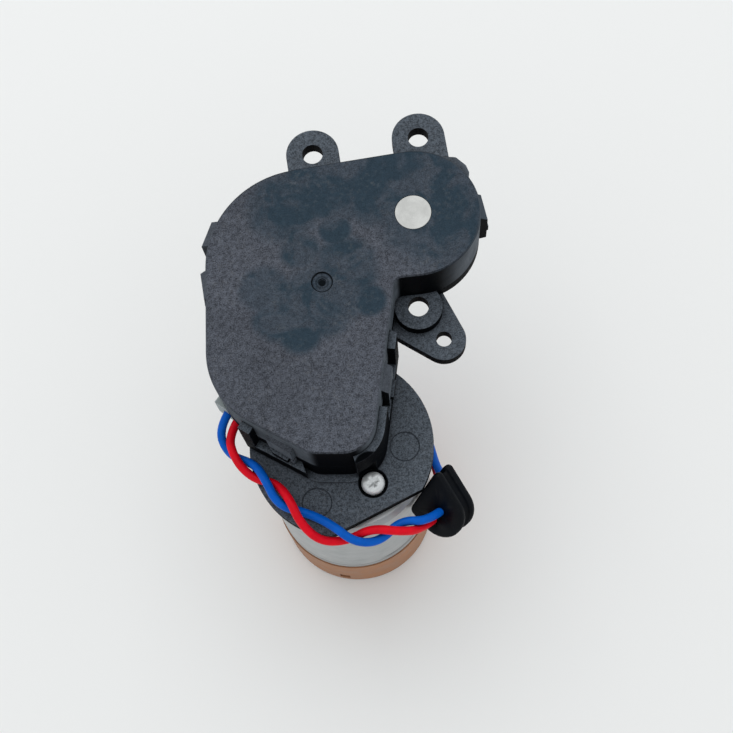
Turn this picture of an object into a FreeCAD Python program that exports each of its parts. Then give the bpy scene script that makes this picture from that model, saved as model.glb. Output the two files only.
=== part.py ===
"""Main brush motor of a robot vacuum: a can motor under one end of a flat gearbox, with a short lead.

Millimetres. The origin is the middle of the motor's foot, on the surface that it stands on, and +Z is
the motor's axis. The gearbox lies on top, and reaches along +Y to its output shaft and its two ears.
"""
import FreeCAD
import Part
import math
import os
from FreeCAD import Vector

# Motor
CAN_RADIUS = 13.85
CAN_HEIGHT = 34.0
CAN_WALL = 0.8
CAN_TOP = 1.0
CAN_BOSS_RADIUS = 4.9
CAN_BOSS_HEIGHT = 1.8
END_CAP_HEIGHT = 14.3
END_CAP_LIP = 0.25
END_CAP_WALL = 1.6
END_CAP_FLOOR = 1.8
END_CAP_SPIGOT = 2.0
MOTOR_SHAFT_RADIUS = 1.0
BUSH_RADIUS = 3.0
REAR_BUSH_LENGTH = 3.2
MAGNET_THICKNESS = 2.8
MAGNET_SHARE = 0.7
MAGNET_ANGLE = 132.0
ROTOR_GAP = 0.4
ROTOR_POLES = 3
CORE_SHARE = 0.53
HUB_SHARE = 0.285
POLE_SHARE = 0.305
SHOE_SHARE = 0.14
SHOE_ANGLE = 100.0
COIL_SHARE = 0.16
COMMUTATOR_RADIUS = 2.6
COMMUTATOR_LENGTH = 5.0
BRUSH_GAP = 0.1
BRUSH_SIZE = 2.4
BRUSH_STRIP = 0.4
BRUSH_STRIP_SHARE = 0.72
TERMINAL_THICKNESS = 0.5
TERMINAL_GAP = 0.4
VENT_ANGLE = 72.0
VENT_WIDTH = 2.0
VENT_HEIGHT = 2.8
MOTOR_SCREW_SPACING = 16.0
MOTOR_SCREW_ANGLE = -60.0
SCREW_RADIUS = 1.0
SCREW_HEAD_RADIUS = 1.85
SCREW_HEAD_HEIGHT = 1.4
SCREW_SEAT_RADIUS = 2.35
SCREW_SEAT_DEPTH = 0.4
SCREW_ROUNDING = 0.6
CROSS_ANGLE = 25.0
CROSS_REACH_SHARE = 0.55
CROSS_WIDTH_SHARE = 0.22

# Gear train: one two-step wheel, one idler and the output wheel
MODULE = 0.5
PINION_TEETH = 12
FIRST_WHEEL_TEETH = 40
FIRST_PINION_TEETH = 12
IDLER_TEETH = 37
OUTPUT_TEETH = 35
PRESSURE_ANGLE = 20.0
TOOTH_BACKLASH = 0.06
FACE_WIDTH = 2.8
LAYER_GAP = 0.4
FLOOR_GAP = 0.3
AXLE_RADIUS = 1.0
AXLE_CLEARANCE = 0.05
AXLE_SEAT = 1.8
CAP_SEAT = 0.7
IDLER_POST_RADIUS = 1.55
FIRST_POST_RADIUS = 1.8
HUB_RADIUS = 2.4

# Output shaft
OUTPUT_X = 16.8
OUTPUT_Y = 31.15
IDLER_DIRECTION = 210.0
OUTPUT_SHAFT_RADIUS = 2.8
OUTPUT_CLEARANCE = 0.06
OUTPUT_BUSH_RADIUS = 4.0
OUTPUT_BUSH_LENGTH = 4.0
OUTPUT_BOSS_RADIUS = 5.3
SOCKET_RADIUS = 5.5
SOCKET_HEIGHT = 8.0
SOCKET_SQUARE = 6.0
SOCKET_DEPTH = 5.0
SOCKET_GAP = 0.2

# Gearbox shell
FLANGE_THICKNESS = 2.2
FLANGE_RADIUS = 14.6
FLANGE_FLAT_DISTANCE = 12.25
FLANGE_FLAT_ANGLE = -71.5
TURRET_HEIGHT = 3.7
CASE_THICKNESS = 2.4
COVER_HEIGHT = 8.4
COVER_TOP = 1.5
COVER_WALL = 1.0
COVER_EDGE = 0.22
WHEEL_GAP = 0.25
FIRST_BAY_X = 0.5
FIRST_BAY_Y = 0.65
FIRST_BAY_GAP = 1.46
IDLER_BAY_X = -1.9
IDLER_BAY_Y = 3.75
IDLER_BAY_GAP = 4.88
CHIN_LEFT_X = -3.06
CHIN_LEFT_Y = -1.39
CHIN_LEFT_RADIUS = 3.0
CHIN_RIGHT_X = 0.98
CHIN_RIGHT_Y = 0.085
CHIN_RIGHT_RADIUS = 5.1
RIGHT_EDGE_ANGLE = -16.0
NECK_Y = 31.6
NECK_RADIUS = 10.0
NECK_FILLET = 1.5
RING_MARK_RADIUS = 1.67
RING_MARK_DEPTH = 0.25
PIT_RADIUS = 0.65
PIT_DEPTH = 0.5

# Skirt wall round the motor end, with its gaps for the cover's tongues
SKIRT_THICKNESS = 1.25
SKIRT_HEIGHT = 11.8
SKIRT_RADIUS = 17.2
SKIRT_LEFT_DISTANCE = 12.2
SKIRT_LEFT_ANGLE = 136.2
FIT_GAP = 0.05
TURRET_WALL = 1.2
TURRET_FLOOR = 1.5
WINDOW_X = -2.1
WINDOW_Y = -4.7
WINDOW_ANGLE = -79.0
WINDOW_WIDTH = 7.5
WINDOW_SILL = 0.3
EJECTOR_RADIUS = 2.4
EJECTOR_DEPTH = 0.12
EJECTOR_REACH = 10.0
EJECTOR_ANGLES = (-10.8, -121.0)

# Snap tongues of the cover: (place on the outline, outward direction in degrees)
TONGUE_WIDTH = 4.4
TONGUE_THICKNESS = 0.9
TONGUE_DROP = 3.8
TONGUE_BAR = 0.7
TONGUE_GAP = 0.15
LUG_WIDTH = 2.8
LUG_REACH = 1.4
SIDE_TONGUES = ((-15.0, 34.2, 152.0), (-16.6, 26.0, 181.0), (23.9, 38.9, 48.0), (27.3, 31.6, 4.0))
MOTOR_TONGUES = ((8.3, 6.4, -16.0), (-8.6, -0.7, -129.5))

# Ears, tab and their holes
EAR_RADIUS = 4.35
EAR_HOLE_RADIUS = 1.7
EAR_SPACING = 17.6
EARS_X = 11.45
EARS_Y = 47.8
TAB_HOLE_X = 15.5
TAB_HOLE_Y = 18.7
TAB_HOLE_RADIUS = 1.65
TAB_BOSS_RADIUS = 3.8
TAB_END_X = 18.7
TAB_END_Y = 13.4
TAB_END_RADIUS = 3.5
TAB_END_HOLE_RADIUS = 1.25
TAB_DROP = 2.2
TAB_THICKNESS = 2.2
TAB_ROOT_RADIUS = 2.45
TAB_ROOT_INNER_X = 8.0
TAB_ROOT_INNER_Y = 21.0
TAB_ROOT_OUTER_X = 12.5
TAB_ROOT_OUTER_Y = 17.2
TAB_SHOULDER_X = 1.0
TAB_SHOULDER_Y = 1.3
TAB_BRIDGE_ANGLE = 140.0

# Wires and what is on them
WIRE_RADIUS = 0.7
WIRE_BEND_SHARE = 0.45
GROMMET_FACE = Vector(13.3, -12.5, 46.5)
GROMMET_FRONT = Vector(-0.578, -0.468, 0.668)
GROMMET_FLAT_SIDE = Vector(0.714, 0.105, 0.692)
GROMMET_OUTLINE = ((-4.85, 3.4, 0.8), (-1.9, -3.4, 1.1), (0.4, 0.1, 4.0))
GROMMET_PLATE = 1.4
GROMMET_GROOVE = 1.7
GROMMET_GROOVE_SHARE = 0.68
GROMMET_BLUE = (0.0, 0.6)
GROMMET_RED = (0.6, -1.5)
CONNECTOR_WIDTH = 6.0
CONNECTOR_HEIGHT = 5.8
CONNECTOR_LENGTH = 9.0
CONNECTOR_START = -6.2
CONNECTOR_GAP = 0.1
CONNECTOR_PITCH = 2.0
CONTACT_WIDTH = 1.5
CONTACT_HEIGHT = 2.2
CONTACT_LENGTH = 5.0
ENTRY_DEPTH = 2.5
WIRE_PORT_HEIGHT = 9.5
RED_PORT_ANGLE = 60.0
BLUE_PORT_ANGLE = 78.0
WIRE_TURN_REACH = 6.75
BEHIND_GROMMET_RED = -8.5
BEHIND_GROMMET_BLUE = -10.2
BEFORE_GROMMET = 3.4
BEFORE_CONNECTOR = -2.6
RED_DOWN = ((15.0, -2.5, 37.0), (14.3, 7.0, 29.0), (11.5, 17.2, 19.0))
BLUE_DOWN = ((16.3, -0.5, 37.0), (12.8, 11.8, 30.0), (5.5, 19.9, 19.5))
RED_FRONT = ((7.4, -15.4, 51.4), (2.6, -14.1, 51.7), (-1.2, -15.1, 49.6), (-5.5, -14.8, 50.7),
             (-8.1, -11.7, 52.9), (-9.1, -7.9, 53.8), (-11.0, -4.7, 51.9), (-14.4, -3.4, 51.2),
             (-16.8, -0.3, 52.5))
BLUE_FRONT = ((7.3, -13.3, 50.0), (3.7, -16.1, 49.9), (-0.2, -16.0, 51.9), (-3.3, -12.8, 52.9),
              (-6.7, -10.1, 51.0), (-11.1, -8.5, 52.6), (-12.5, -4.0, 53.5), (-14.0, -1.0, 51.5),
              (-18.1, 1.4, 50.1))

# Levels above the floor
FACE = END_CAP_HEIGHT + CAN_HEIGHT
FLANGE_TOP = FACE + FLANGE_THICKNESS
CASE_UNDERSIDE = FLANGE_TOP + TURRET_HEIGHT
PARTING = CASE_UNDERSIDE + CASE_THICKNESS
TOP = PARTING + COVER_HEIGHT
CEILING = TOP - COVER_TOP
LOWER_LAYER = PARTING + FLOOR_GAP
UPPER_LAYER = LOWER_LAYER + FACE_WIDTH + LAYER_GAP
GEARS_TOP = UPPER_LAYER + FACE_WIDTH
BOSS_CEILING = GEARS_TOP + LAYER_GAP / 2
ZERO = Vector(0, 0, 0)

# Places in plan
OUTPUT_AXIS = Vector(OUTPUT_X, OUTPUT_Y, 0)
CHIN_LEFT = (Vector(CHIN_LEFT_X, CHIN_LEFT_Y, 0), CHIN_LEFT_RADIUS)
CHIN_RIGHT = (Vector(CHIN_RIGHT_X, CHIN_RIGHT_Y, 0), CHIN_RIGHT_RADIUS)
NECK = (Vector(0, NECK_Y, 0), NECK_RADIUS)
EAR_LINE = Vector(EARS_X, EARS_Y, 0)
TAB_HOLE = Vector(TAB_HOLE_X, TAB_HOLE_Y, 0)
TAB_END = Vector(TAB_END_X, TAB_END_Y, 0)

# Inside of the motor
MAGNET_LENGTH = MAGNET_SHARE * CAN_HEIGHT
MAGNET_LOW = END_CAP_HEIGHT + END_CAP_SPIGOT + 2 * CAN_TOP
CORE_LOW = MAGNET_LOW + (MAGNET_LENGTH - CORE_SHARE * CAN_HEIGHT) / 2
CORE_HIGH = CORE_LOW + CORE_SHARE * CAN_HEIGHT
MAGNET_OUTER = CAN_RADIUS - CAN_WALL - FIT_GAP / 2
MAGNET_INNER = MAGNET_OUTER - MAGNET_THICKNESS
ROTOR_RADIUS = MAGNET_INNER - ROTOR_GAP
HUB_RADIUS_OF_CORE = HUB_SHARE * ROTOR_RADIUS
POLE_WIDTH = POLE_SHARE * ROTOR_RADIUS
SHOE_THICKNESS = SHOE_SHARE * ROTOR_RADIUS
COIL_BUILD = COIL_SHARE * ROTOR_RADIUS
CAP_INNER = CAN_RADIUS - CAN_WALL - FIT_GAP - END_CAP_WALL


def polar(radius, degrees, z=0.0):
    """A point at a radius and angle about the motor's axis."""
    angle = math.radians(degrees)
    return Vector(radius * math.cos(angle), radius * math.sin(angle), z)


def cylinder(centre, radius, low, high):
    """An upright cylinder between two levels."""
    return Part.makeCylinder(radius, high - low, Vector(centre.x, centre.y, low))


def prism(face, low, high):
    """A flat face at z = 0 raised between two levels."""
    solid = face.extrude(Vector(0, 0, high - low))
    solid.translate(Vector(0, 0, low))
    return solid


def turned(profile):
    """A solid turned about the motor's axis from (radius, height) corners."""
    corners = [Vector(radius, 0, height) for radius, height in profile]
    wire = Part.makePolygon(corners + corners[:1])
    return Part.Face(wire).revolve(ZERO, Vector(0, 0, 1), 360)


def block(centre, direction, inner, outer, width, low, high):
    """A box that starts at an inner distance along a direction in plan and ends at an outer one."""
    box = Part.makeBox(outer - inner, width, high - low, Vector(inner, -width / 2, low))
    box.rotate(ZERO, Vector(0, 0, 1), direction)
    box.translate(Vector(centre.x, centre.y, 0))
    return box


def belt(circles):
    """The face inside a tight belt round circles that are named counter-clockwise."""
    count = len(circles)
    normals = []
    for index in range(count):
        (start, start_radius), (end, end_radius) = circles[index], circles[(index + 1) % count]
        step = end - start
        lean = math.acos((start_radius - end_radius) / step.Length)
        normals.append(math.atan2(step.y, step.x) - lean)
    edges = []
    for index in range(count):
        centre, radius = circles[index]
        arrive, leave = normals[index - 1], normals[index]
        while leave < arrive:
            leave += 2 * math.pi
        points = [centre + Vector(math.cos(a), math.sin(a), 0) * radius
                  for a in (arrive, (arrive + leave) / 2, leave)]
        edges.append(Part.Arc(*points).toShape())
        following, following_radius = circles[(index + 1) % count]
        landing = following + Vector(math.cos(leave), math.sin(leave), 0) * following_radius
        edges.append(Part.LineSegment(points[2], landing).toShape())
    return Part.Face(Part.Wire(edges))


def joined(solid):
    """The outline face of the top of an upright solid, at z = 0."""
    solid = solid.removeSplitter()
    level = solid.BoundBox.ZMax
    top = max((face for face in solid.Faces if face.BoundBox.ZMin > level - FIT_GAP), key=lambda f: f.Area)
    wire = top.OuterWire.translated(Vector(0, 0, -level))
    return Part.Face(wire)


def grown(face, distance):
    """A face with its outer edge moved outwards by a distance."""
    return Part.Face(Part.Face(face.OuterWire).makeOffset2D(distance).OuterWire)


def half_plane(degrees, distance, reach=80.0):
    """The plan area on the near side of a line at a distance in a direction, as an upright block."""
    return block(ZERO, degrees, distance - reach, distance, 2 * reach, 0.0, reach)


def pitch_radius(teeth):
    return teeth * MODULE / 2


def tip_radius(teeth):
    return pitch_radius(teeth) + MODULE


def gear_axes():
    """The first wheel's and the idler's axes, from the centre distances of the train."""
    reach = pitch_radius(IDLER_TEETH) + pitch_radius(OUTPUT_TEETH)
    idler = OUTPUT_AXIS + polar(reach, IDLER_DIRECTION)
    near = pitch_radius(PINION_TEETH) + pitch_radius(FIRST_WHEEL_TEETH)
    far = pitch_radius(FIRST_PINION_TEETH) + pitch_radius(IDLER_TEETH)
    span = idler.Length
    along = (near ** 2 - far ** 2 + span ** 2) / (2 * span)
    aside = math.sqrt(near ** 2 - along ** 2)
    forward = idler * (1 / span)
    return forward * along + Vector(-forward.y, forward.x, 0) * aside, idler


FIRST_AXIS, IDLER_AXIS = gear_axes()


def bearing(start, end):
    """The direction from one axis to another, in degrees."""
    return math.degrees(math.atan2(end.y - start.y, end.x - start.x))


def gear_phases():
    """The angle of one tooth of each wheel, so that the whole train is in mesh."""
    pinion = bearing(ZERO, FIRST_AXIS)
    wheel = bearing(FIRST_AXIS, ZERO) + 180 / FIRST_WHEEL_TEETH
    small = bearing(FIRST_AXIS, IDLER_AXIS)
    idler = bearing(IDLER_AXIS, FIRST_AXIS) + 180 / IDLER_TEETH
    pitch = 360 / IDLER_TEETH
    turn = (bearing(IDLER_AXIS, OUTPUT_AXIS) - idler) / pitch
    lead = (turn - math.floor(turn)) * IDLER_TEETH / OUTPUT_TEETH
    output = bearing(OUTPUT_AXIS, IDLER_AXIS) + 180 / OUTPUT_TEETH + lead * 360 / IDLER_TEETH
    return {"pinion": pinion, "wheel": wheel, "small": small, "idler": idler, "output": output}


def gear_face(teeth):
    """The outline of a spur gear with involute flanks, one tooth on the +X axis."""
    pressure = math.radians(PRESSURE_ANGLE)
    pitch = pitch_radius(teeth)
    base = pitch * math.cos(pressure)
    root = pitch - 1.25 * MODULE
    tip = pitch + MODULE
    half_tooth = math.pi / (2 * teeth) - TOOTH_BACKLASH / (2 * pitch)
    involute = math.tan(pressure) - pressure

    def half_angle(radius):
        if radius <= base:
            return half_tooth + involute
        lean = math.acos(base / radius)
        return half_tooth + involute - (math.tan(lean) - lean)

    radii = [root, max(base, root + 0.1 * MODULE), pitch, tip]
    corners = []
    for tooth in range(teeth):
        middle = 2 * math.pi * tooth / teeth
        lower = [(radius, middle - half_angle(radius)) for radius in radii]
        upper = [(radius, middle + half_angle(radius)) for radius in reversed(radii)]
        corners += [Vector(r * math.cos(a), r * math.sin(a), 0) for r, a in lower + upper]
    return Part.Face(Part.makePolygon(corners + corners[:1]))


def gear(teeth, axis, phase, low, high):
    """A toothed wheel between two levels."""
    solid = prism(gear_face(teeth), low, high)
    solid.rotate(ZERO, Vector(0, 0, 1), phase)
    solid.translate(axis)
    return solid


def shell_outline():
    """The cover's outline in plan: the motor end, the two gear bays and the output lobe."""
    first = (FIRST_AXIS + Vector(FIRST_BAY_X, FIRST_BAY_Y, 0),
             tip_radius(FIRST_WHEEL_TEETH) + FIRST_BAY_GAP + COVER_WALL)
    idler = (IDLER_AXIS + Vector(IDLER_BAY_X, IDLER_BAY_Y, 0),
             tip_radius(IDLER_TEETH) + IDLER_BAY_GAP + COVER_WALL)
    lobe = (OUTPUT_AXIS, tip_radius(OUTPUT_TEETH) + WHEEL_GAP + COVER_WALL)
    body = belt([CHIN_LEFT, CHIN_RIGHT, idler, first])
    edge = CHIN_RIGHT[0].dot(polar(1, RIGHT_EDGE_ANGLE)) + CHIN_RIGHT[1]
    body = prism(body, 0, 1).common(half_plane(RIGHT_EDGE_ANGLE, edge))
    face = joined(body.fuse(prism(belt([NECK, lobe]), 0, 1)))
    return grown(grown(face, NECK_FILLET), -NECK_FILLET)


OUTLINE = shell_outline()


def skirt_area():
    """The upright space that the skirt and turret round the motor end may fill."""
    return cylinder(ZERO, SKIRT_RADIUS, 0, TOP).common(half_plane(SKIRT_LEFT_ANGLE, SKIRT_LEFT_DISTANCE))


def tongue(place, low):
    """One snap tongue: a tapered strip down the wall, with a window over its lug."""
    x, y, direction = place
    centre = Vector(x, y, 0)
    shoulder = TOP - TONGUE_DROP
    strip = block(centre, direction, -COVER_WALL, TONGUE_THICKNESS, TONGUE_WIDTH, low, shoulder)
    ramp = block(centre, direction, -COVER_WALL, TONGUE_THICKNESS, TONGUE_WIDTH, shoulder,
                 shoulder + TONGUE_THICKNESS + COVER_WALL)
    slope = block(ZERO, 0, 0, 4 * TONGUE_THICKNESS, 2 * TONGUE_WIDTH, 0, 4 * TONGUE_THICKNESS)
    slope.rotate(ZERO, Vector(0, 1, 0), -45)
    slope.rotate(ZERO, Vector(0, 0, 1), direction)
    outward = polar(TONGUE_THICKNESS, direction)
    slope.translate(centre + outward + Vector(0, 0, shoulder))
    window = block(centre, direction, -COVER_WALL, 2 * TONGUE_THICKNESS, LUG_WIDTH + 2 * TONGUE_GAP,
                   low + TONGUE_BAR, PARTING + TONGUE_GAP)
    return strip.fuse(ramp.cut(slope)).cut(window)


def lug(place, low):
    """The wedge on the case that a tongue's window hooks over."""
    x, y, direction = place
    return block(Vector(x, y, 0), direction, -COVER_WALL, LUG_REACH, LUG_WIDTH,
                 low + TONGUE_BAR + TONGUE_GAP, PARTING)


def gear_cover():
    """The deep cap over the gears, with its snap tongues, axle seats and shaft hole."""
    inside = grown(OUTLINE, -COVER_WALL)
    cap = prism(OUTLINE, PARTING, TOP)
    rim = [edge for edge in cap.Edges if edge.BoundBox.ZMin > TOP - FIT_GAP]
    cap = cap.makeChamfer(COVER_EDGE, rim)
    cap = cap.cut(prism(inside, PARTING - 1, CEILING))
    for axis, radius in ((FIRST_AXIS, FIRST_POST_RADIUS), (IDLER_AXIS, FIRST_POST_RADIUS),
                         (OUTPUT_AXIS, OUTPUT_BUSH_RADIUS)):
        cap = cap.fuse(cylinder(axis, radius, BOSS_CEILING, CEILING))
    for place in SIDE_TONGUES + MOTOR_TONGUES:
        cap = cap.fuse(tongue(place, CASE_UNDERSIDE))
    cap = cap.cut(prism(grown(OUTLINE, FIT_GAP), 0, PARTING))
    cap = cap.cut(prism(inside, PARTING - 1, BOSS_CEILING))
    for axis in (FIRST_AXIS, IDLER_AXIS):
        cap = cap.cut(cylinder(axis, AXLE_RADIUS, BOSS_CEILING - 1, CEILING + CAP_SEAT))
    cap = cap.cut(cylinder(OUTPUT_AXIS, OUTPUT_SHAFT_RADIUS + OUTPUT_CLEARANCE, PARTING, TOP + 1))
    ring = cylinder(IDLER_AXIS, RING_MARK_RADIUS, TOP - RING_MARK_DEPTH, TOP)
    pit = cylinder(IDLER_AXIS, PIT_RADIUS, TOP - PIT_DEPTH, TOP)
    return cap.cut(ring).cut(pit).removeSplitter()


def ear(side):
    """One mounting ear: a rounded plate that runs back under the cover."""
    centre = EAR_LINE + Vector(side * EAR_SPACING / 2, 0, 0)
    plate = block(centre, -90, 0, EAR_LINE.y - OUTPUT_AXIS.y, 2 * EAR_RADIUS, CASE_UNDERSIDE, PARTING)
    return plate.fuse(cylinder(centre, EAR_RADIUS, CASE_UNDERSIDE, PARTING))


def tab():
    """The stepped tab: a lower plate with the locating hole, and a raised boss with the screw hole."""
    step_top = PARTING - TAB_DROP
    lower = belt([(TAB_END, TAB_END_RADIUS),
                  (TAB_HOLE + Vector(TAB_SHOULDER_X, TAB_SHOULDER_Y, 0), TAB_END_RADIUS),
                  (Vector(TAB_ROOT_INNER_X, TAB_ROOT_INNER_Y, 0), TAB_ROOT_RADIUS),
                  (Vector(TAB_ROOT_OUTER_X, TAB_ROOT_OUTER_Y, 0), TAB_ROOT_RADIUS)])
    plate = prism(lower, step_top - TAB_THICKNESS, step_top)
    boss = cylinder(TAB_HOLE, TAB_BOSS_RADIUS, step_top - TAB_THICKNESS, PARTING)
    bridge = block(TAB_HOLE, TAB_BRIDGE_ANGLE, 0, 2 * TAB_BOSS_RADIUS, TAB_BOSS_RADIUS, CASE_UNDERSIDE, PARTING)
    return plate.fuse(boss).fuse(bridge)


def outside(centre, direction, width, low):
    """The space beyond the outline in one direction, from a level up."""
    space = block(centre, direction, -CHIN_RIGHT[1], 2 * CHIN_RIGHT[1], width, low, TOP)
    return space.cut(prism(OUTLINE, 0, TOP))


def skirt():
    """The turret under the motor end and the wall that stands round the cover there."""
    area = skirt_area()
    outer = prism(grown(OUTLINE, SKIRT_THICKNESS), FLANGE_TOP, FLANGE_TOP + SKIRT_HEIGHT).common(area)
    outer = outer.cut(prism(grown(OUTLINE, FIT_GAP), PARTING, TOP))
    for x, y, direction in MOTOR_TONGUES:
        outer = outer.cut(outside(Vector(x, y, 0), direction, TONGUE_WIDTH + 4 * TURRET_WALL, CASE_UNDERSIDE))
    window = outside(Vector(WINDOW_X, WINDOW_Y, 0), WINDOW_ANGLE, WINDOW_WIDTH, FLANGE_TOP + WINDOW_SILL)
    return outer.cut(window)


def gear_case():
    """The lower shell: base plate, ears, tab, turret, motor flange and the seats of what it carries."""
    case = prism(OUTLINE, CASE_UNDERSIDE, PARTING)
    case = case.fuse(ear(-1)).fuse(ear(1)).fuse(tab()).fuse(skirt())
    flange = cylinder(ZERO, FLANGE_RADIUS, FACE, FLANGE_TOP)
    flange = flange.common(half_plane(FLANGE_FLAT_ANGLE, FLANGE_FLAT_DISTANCE))
    flange = flange.common(half_plane(SKIRT_LEFT_ANGLE, CAN_RADIUS))
    case = case.fuse(flange)
    for place in SIDE_TONGUES + MOTOR_TONGUES:
        x, y, direction = place
        case = case.cut(outside(Vector(x, y, 0), direction, TONGUE_WIDTH + 4 * TONGUE_GAP, CASE_UNDERSIDE))
        case = case.fuse(lug(place, CASE_UNDERSIDE))
    hollow = prism(grown(OUTLINE, -TURRET_WALL), FLANGE_TOP + TURRET_FLOOR, PARTING)
    hollow = hollow.common(cylinder(ZERO, SKIRT_RADIUS - TURRET_WALL, 0, TOP))
    hollow = hollow.common(half_plane(SKIRT_LEFT_ANGLE, SKIRT_LEFT_DISTANCE - TURRET_WALL))
    case = case.cut(hollow)
    case = case.fuse(cylinder(FIRST_AXIS, FIRST_POST_RADIUS, FLANGE_TOP, PARTING))
    case = case.fuse(cylinder(IDLER_AXIS, IDLER_POST_RADIUS, CASE_UNDERSIDE, UPPER_LAYER - LAYER_GAP / 2))
    case = case.fuse(cylinder(OUTPUT_AXIS, OUTPUT_BOSS_RADIUS, CASE_UNDERSIDE,
                              UPPER_LAYER - LAYER_GAP / 2))
    return drilled_case(case)


def drilled_case(case):
    """The case with its holes: mounting, motor boss, screws, axles, shaft bush and moulding marks."""
    for side in (-1, 1):
        centre = EAR_LINE + Vector(side * EAR_SPACING / 2, 0, 0)
        case = case.cut(cylinder(centre, EAR_HOLE_RADIUS, 0, TOP))
    case = case.cut(cylinder(TAB_HOLE, TAB_HOLE_RADIUS, 0, TOP))
    case = case.cut(cylinder(TAB_HOLE, TAB_HOLE_RADIUS + COVER_WALL, 0, PARTING - TAB_DROP))
    case = case.cut(cylinder(TAB_END, TAB_END_HOLE_RADIUS, 0, TOP))
    case = case.cut(cylinder(ZERO, CAN_BOSS_RADIUS + FIT_GAP, FACE - 1, FACE + CAN_BOSS_HEIGHT + FIT_GAP))
    case = case.cut(cylinder(ZERO, BUSH_RADIUS + FIT_GAP, FACE, PARTING))
    for angle in EJECTOR_ANGLES:
        case = case.cut(cylinder(polar(EJECTOR_REACH, angle), EJECTOR_RADIUS, FLANGE_TOP - EJECTOR_DEPTH,
                                 FLANGE_TOP + EJECTOR_DEPTH))
    for turn in (0, 180):
        spot = polar(MOTOR_SCREW_SPACING / 2, MOTOR_SCREW_ANGLE + turn)
        case = case.cut(cylinder(spot, SCREW_RADIUS + FIT_GAP, FACE - 1, PARTING))
        case = case.cut(cylinder(spot, SCREW_SEAT_RADIUS, FLANGE_TOP - SCREW_SEAT_DEPTH, PARTING))
    for axis in (FIRST_AXIS, IDLER_AXIS):
        case = case.cut(cylinder(axis, AXLE_RADIUS, PARTING - AXLE_SEAT, TOP))
    case = case.cut(cylinder(OUTPUT_AXIS, OUTPUT_BUSH_RADIUS, 0, CASE_UNDERSIDE + OUTPUT_BUSH_LENGTH))
    case = case.cut(cylinder(OUTPUT_AXIS, OUTPUT_SHAFT_RADIUS + COVER_WALL / 2, 0, TOP))
    return case.removeSplitter()


def motor_can():
    """The drawn steel can with its front boss."""
    inner = CAN_RADIUS - CAN_WALL
    boss_top = FACE + CAN_BOSS_HEIGHT
    can = turned([(CAN_RADIUS, END_CAP_HEIGHT), (CAN_RADIUS, FACE - CAN_WALL), (CAN_RADIUS - CAN_WALL, FACE),
                  (CAN_BOSS_RADIUS, FACE), (CAN_BOSS_RADIUS, boss_top), (BUSH_RADIUS, boss_top),
                  (BUSH_RADIUS, FACE - CAN_BOSS_HEIGHT), (CAN_BOSS_RADIUS, FACE - CAN_BOSS_HEIGHT),
                  (CAN_BOSS_RADIUS, FACE - CAN_TOP), (inner, FACE - CAN_TOP), (inner, END_CAP_HEIGHT)])
    for turn in (0, 180):
        spot = polar(MOTOR_SCREW_SPACING / 2, MOTOR_SCREW_ANGLE + turn)
        can = can.cut(cylinder(spot, SCREW_RADIUS, FACE - 2 * CAN_TOP, FACE + 1))
    return can


def wire_ports():
    """The angles at which the blue and the red wire pass through the end cap's wall."""
    return BLUE_PORT_ANGLE, RED_PORT_ANGLE


def end_cap():
    """The moulded cup that closes the can: spigot, foot, rear bush seat, ports and vent slots."""
    radius = CAN_RADIUS + END_CAP_LIP
    spigot = CAN_RADIUS - CAN_WALL - FIT_GAP
    inner = CAP_INNER
    seat = END_CAP_FLOOR + REAR_BUSH_LENGTH
    cap = turned([(0, 0), (radius - COVER_EDGE, 0), (radius, COVER_EDGE), (radius, END_CAP_HEIGHT),
                  (spigot, END_CAP_HEIGHT), (spigot, END_CAP_HEIGHT + END_CAP_SPIGOT),
                  (inner, END_CAP_HEIGHT + END_CAP_SPIGOT), (inner, END_CAP_FLOOR),
                  (BUSH_RADIUS + END_CAP_WALL, END_CAP_FLOOR), (BUSH_RADIUS + END_CAP_WALL, seat),
                  (BUSH_RADIUS, seat), (BUSH_RADIUS, END_CAP_FLOOR), (0, END_CAP_FLOOR)])
    for angle in wire_ports():
        axis = polar(1, angle)
        start = Vector(0, 0, WIRE_PORT_HEIGHT) + axis * (inner - END_CAP_WALL)
        port = Part.makeCylinder(WIRE_RADIUS, radius, start, axis)
        cap = cap.cut(port)
    for turn in (0, 180):
        cap = cap.cut(block(ZERO, VENT_ANGLE + turn, inner - END_CAP_WALL, 2 * radius, VENT_WIDTH,
                            END_CAP_FLOOR, END_CAP_FLOOR + VENT_HEIGHT))
    return cap


def magnet(angle):
    """One arc magnet against the can's wall."""
    high = MAGNET_LOW + MAGNET_LENGTH
    profile = Part.makePolygon([Vector(MAGNET_INNER, 0, MAGNET_LOW), Vector(MAGNET_OUTER, 0, MAGNET_LOW),
                                Vector(MAGNET_OUTER, 0, high), Vector(MAGNET_INNER, 0, high),
                                Vector(MAGNET_INNER, 0, MAGNET_LOW)])
    arc = Part.Face(profile).revolve(ZERO, Vector(0, 0, 1), MAGNET_ANGLE)
    arc.rotate(ZERO, Vector(0, 0, 1), angle - MAGNET_ANGLE / 2)
    return arc


def rotor_core():
    """The stacked iron: a hub, arms and curved shoes."""
    low, high, radius = CORE_LOW, CORE_HIGH, ROTOR_RADIUS
    ring = cylinder(ZERO, radius, low, high).cut(cylinder(ZERO, radius - SHOE_THICKNESS, low, high))
    core = cylinder(ZERO, HUB_RADIUS_OF_CORE, low, high)
    gap = 2 * radius * math.sin(math.radians((360 / ROTOR_POLES - SHOE_ANGLE) / 2))
    for pole in range(ROTOR_POLES):
        angle = 360 * pole / ROTOR_POLES
        core = core.fuse(block(ZERO, angle, 0, radius - SHOE_THICKNESS / 2, POLE_WIDTH, low, high))
        ring = ring.cut(block(ZERO, angle + 180 / ROTOR_POLES, 0, 2 * radius, gap, low, high))
    return core.fuse(ring).cut(cylinder(ZERO, MOTOR_SHAFT_RADIUS, low, high)).removeSplitter()


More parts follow.
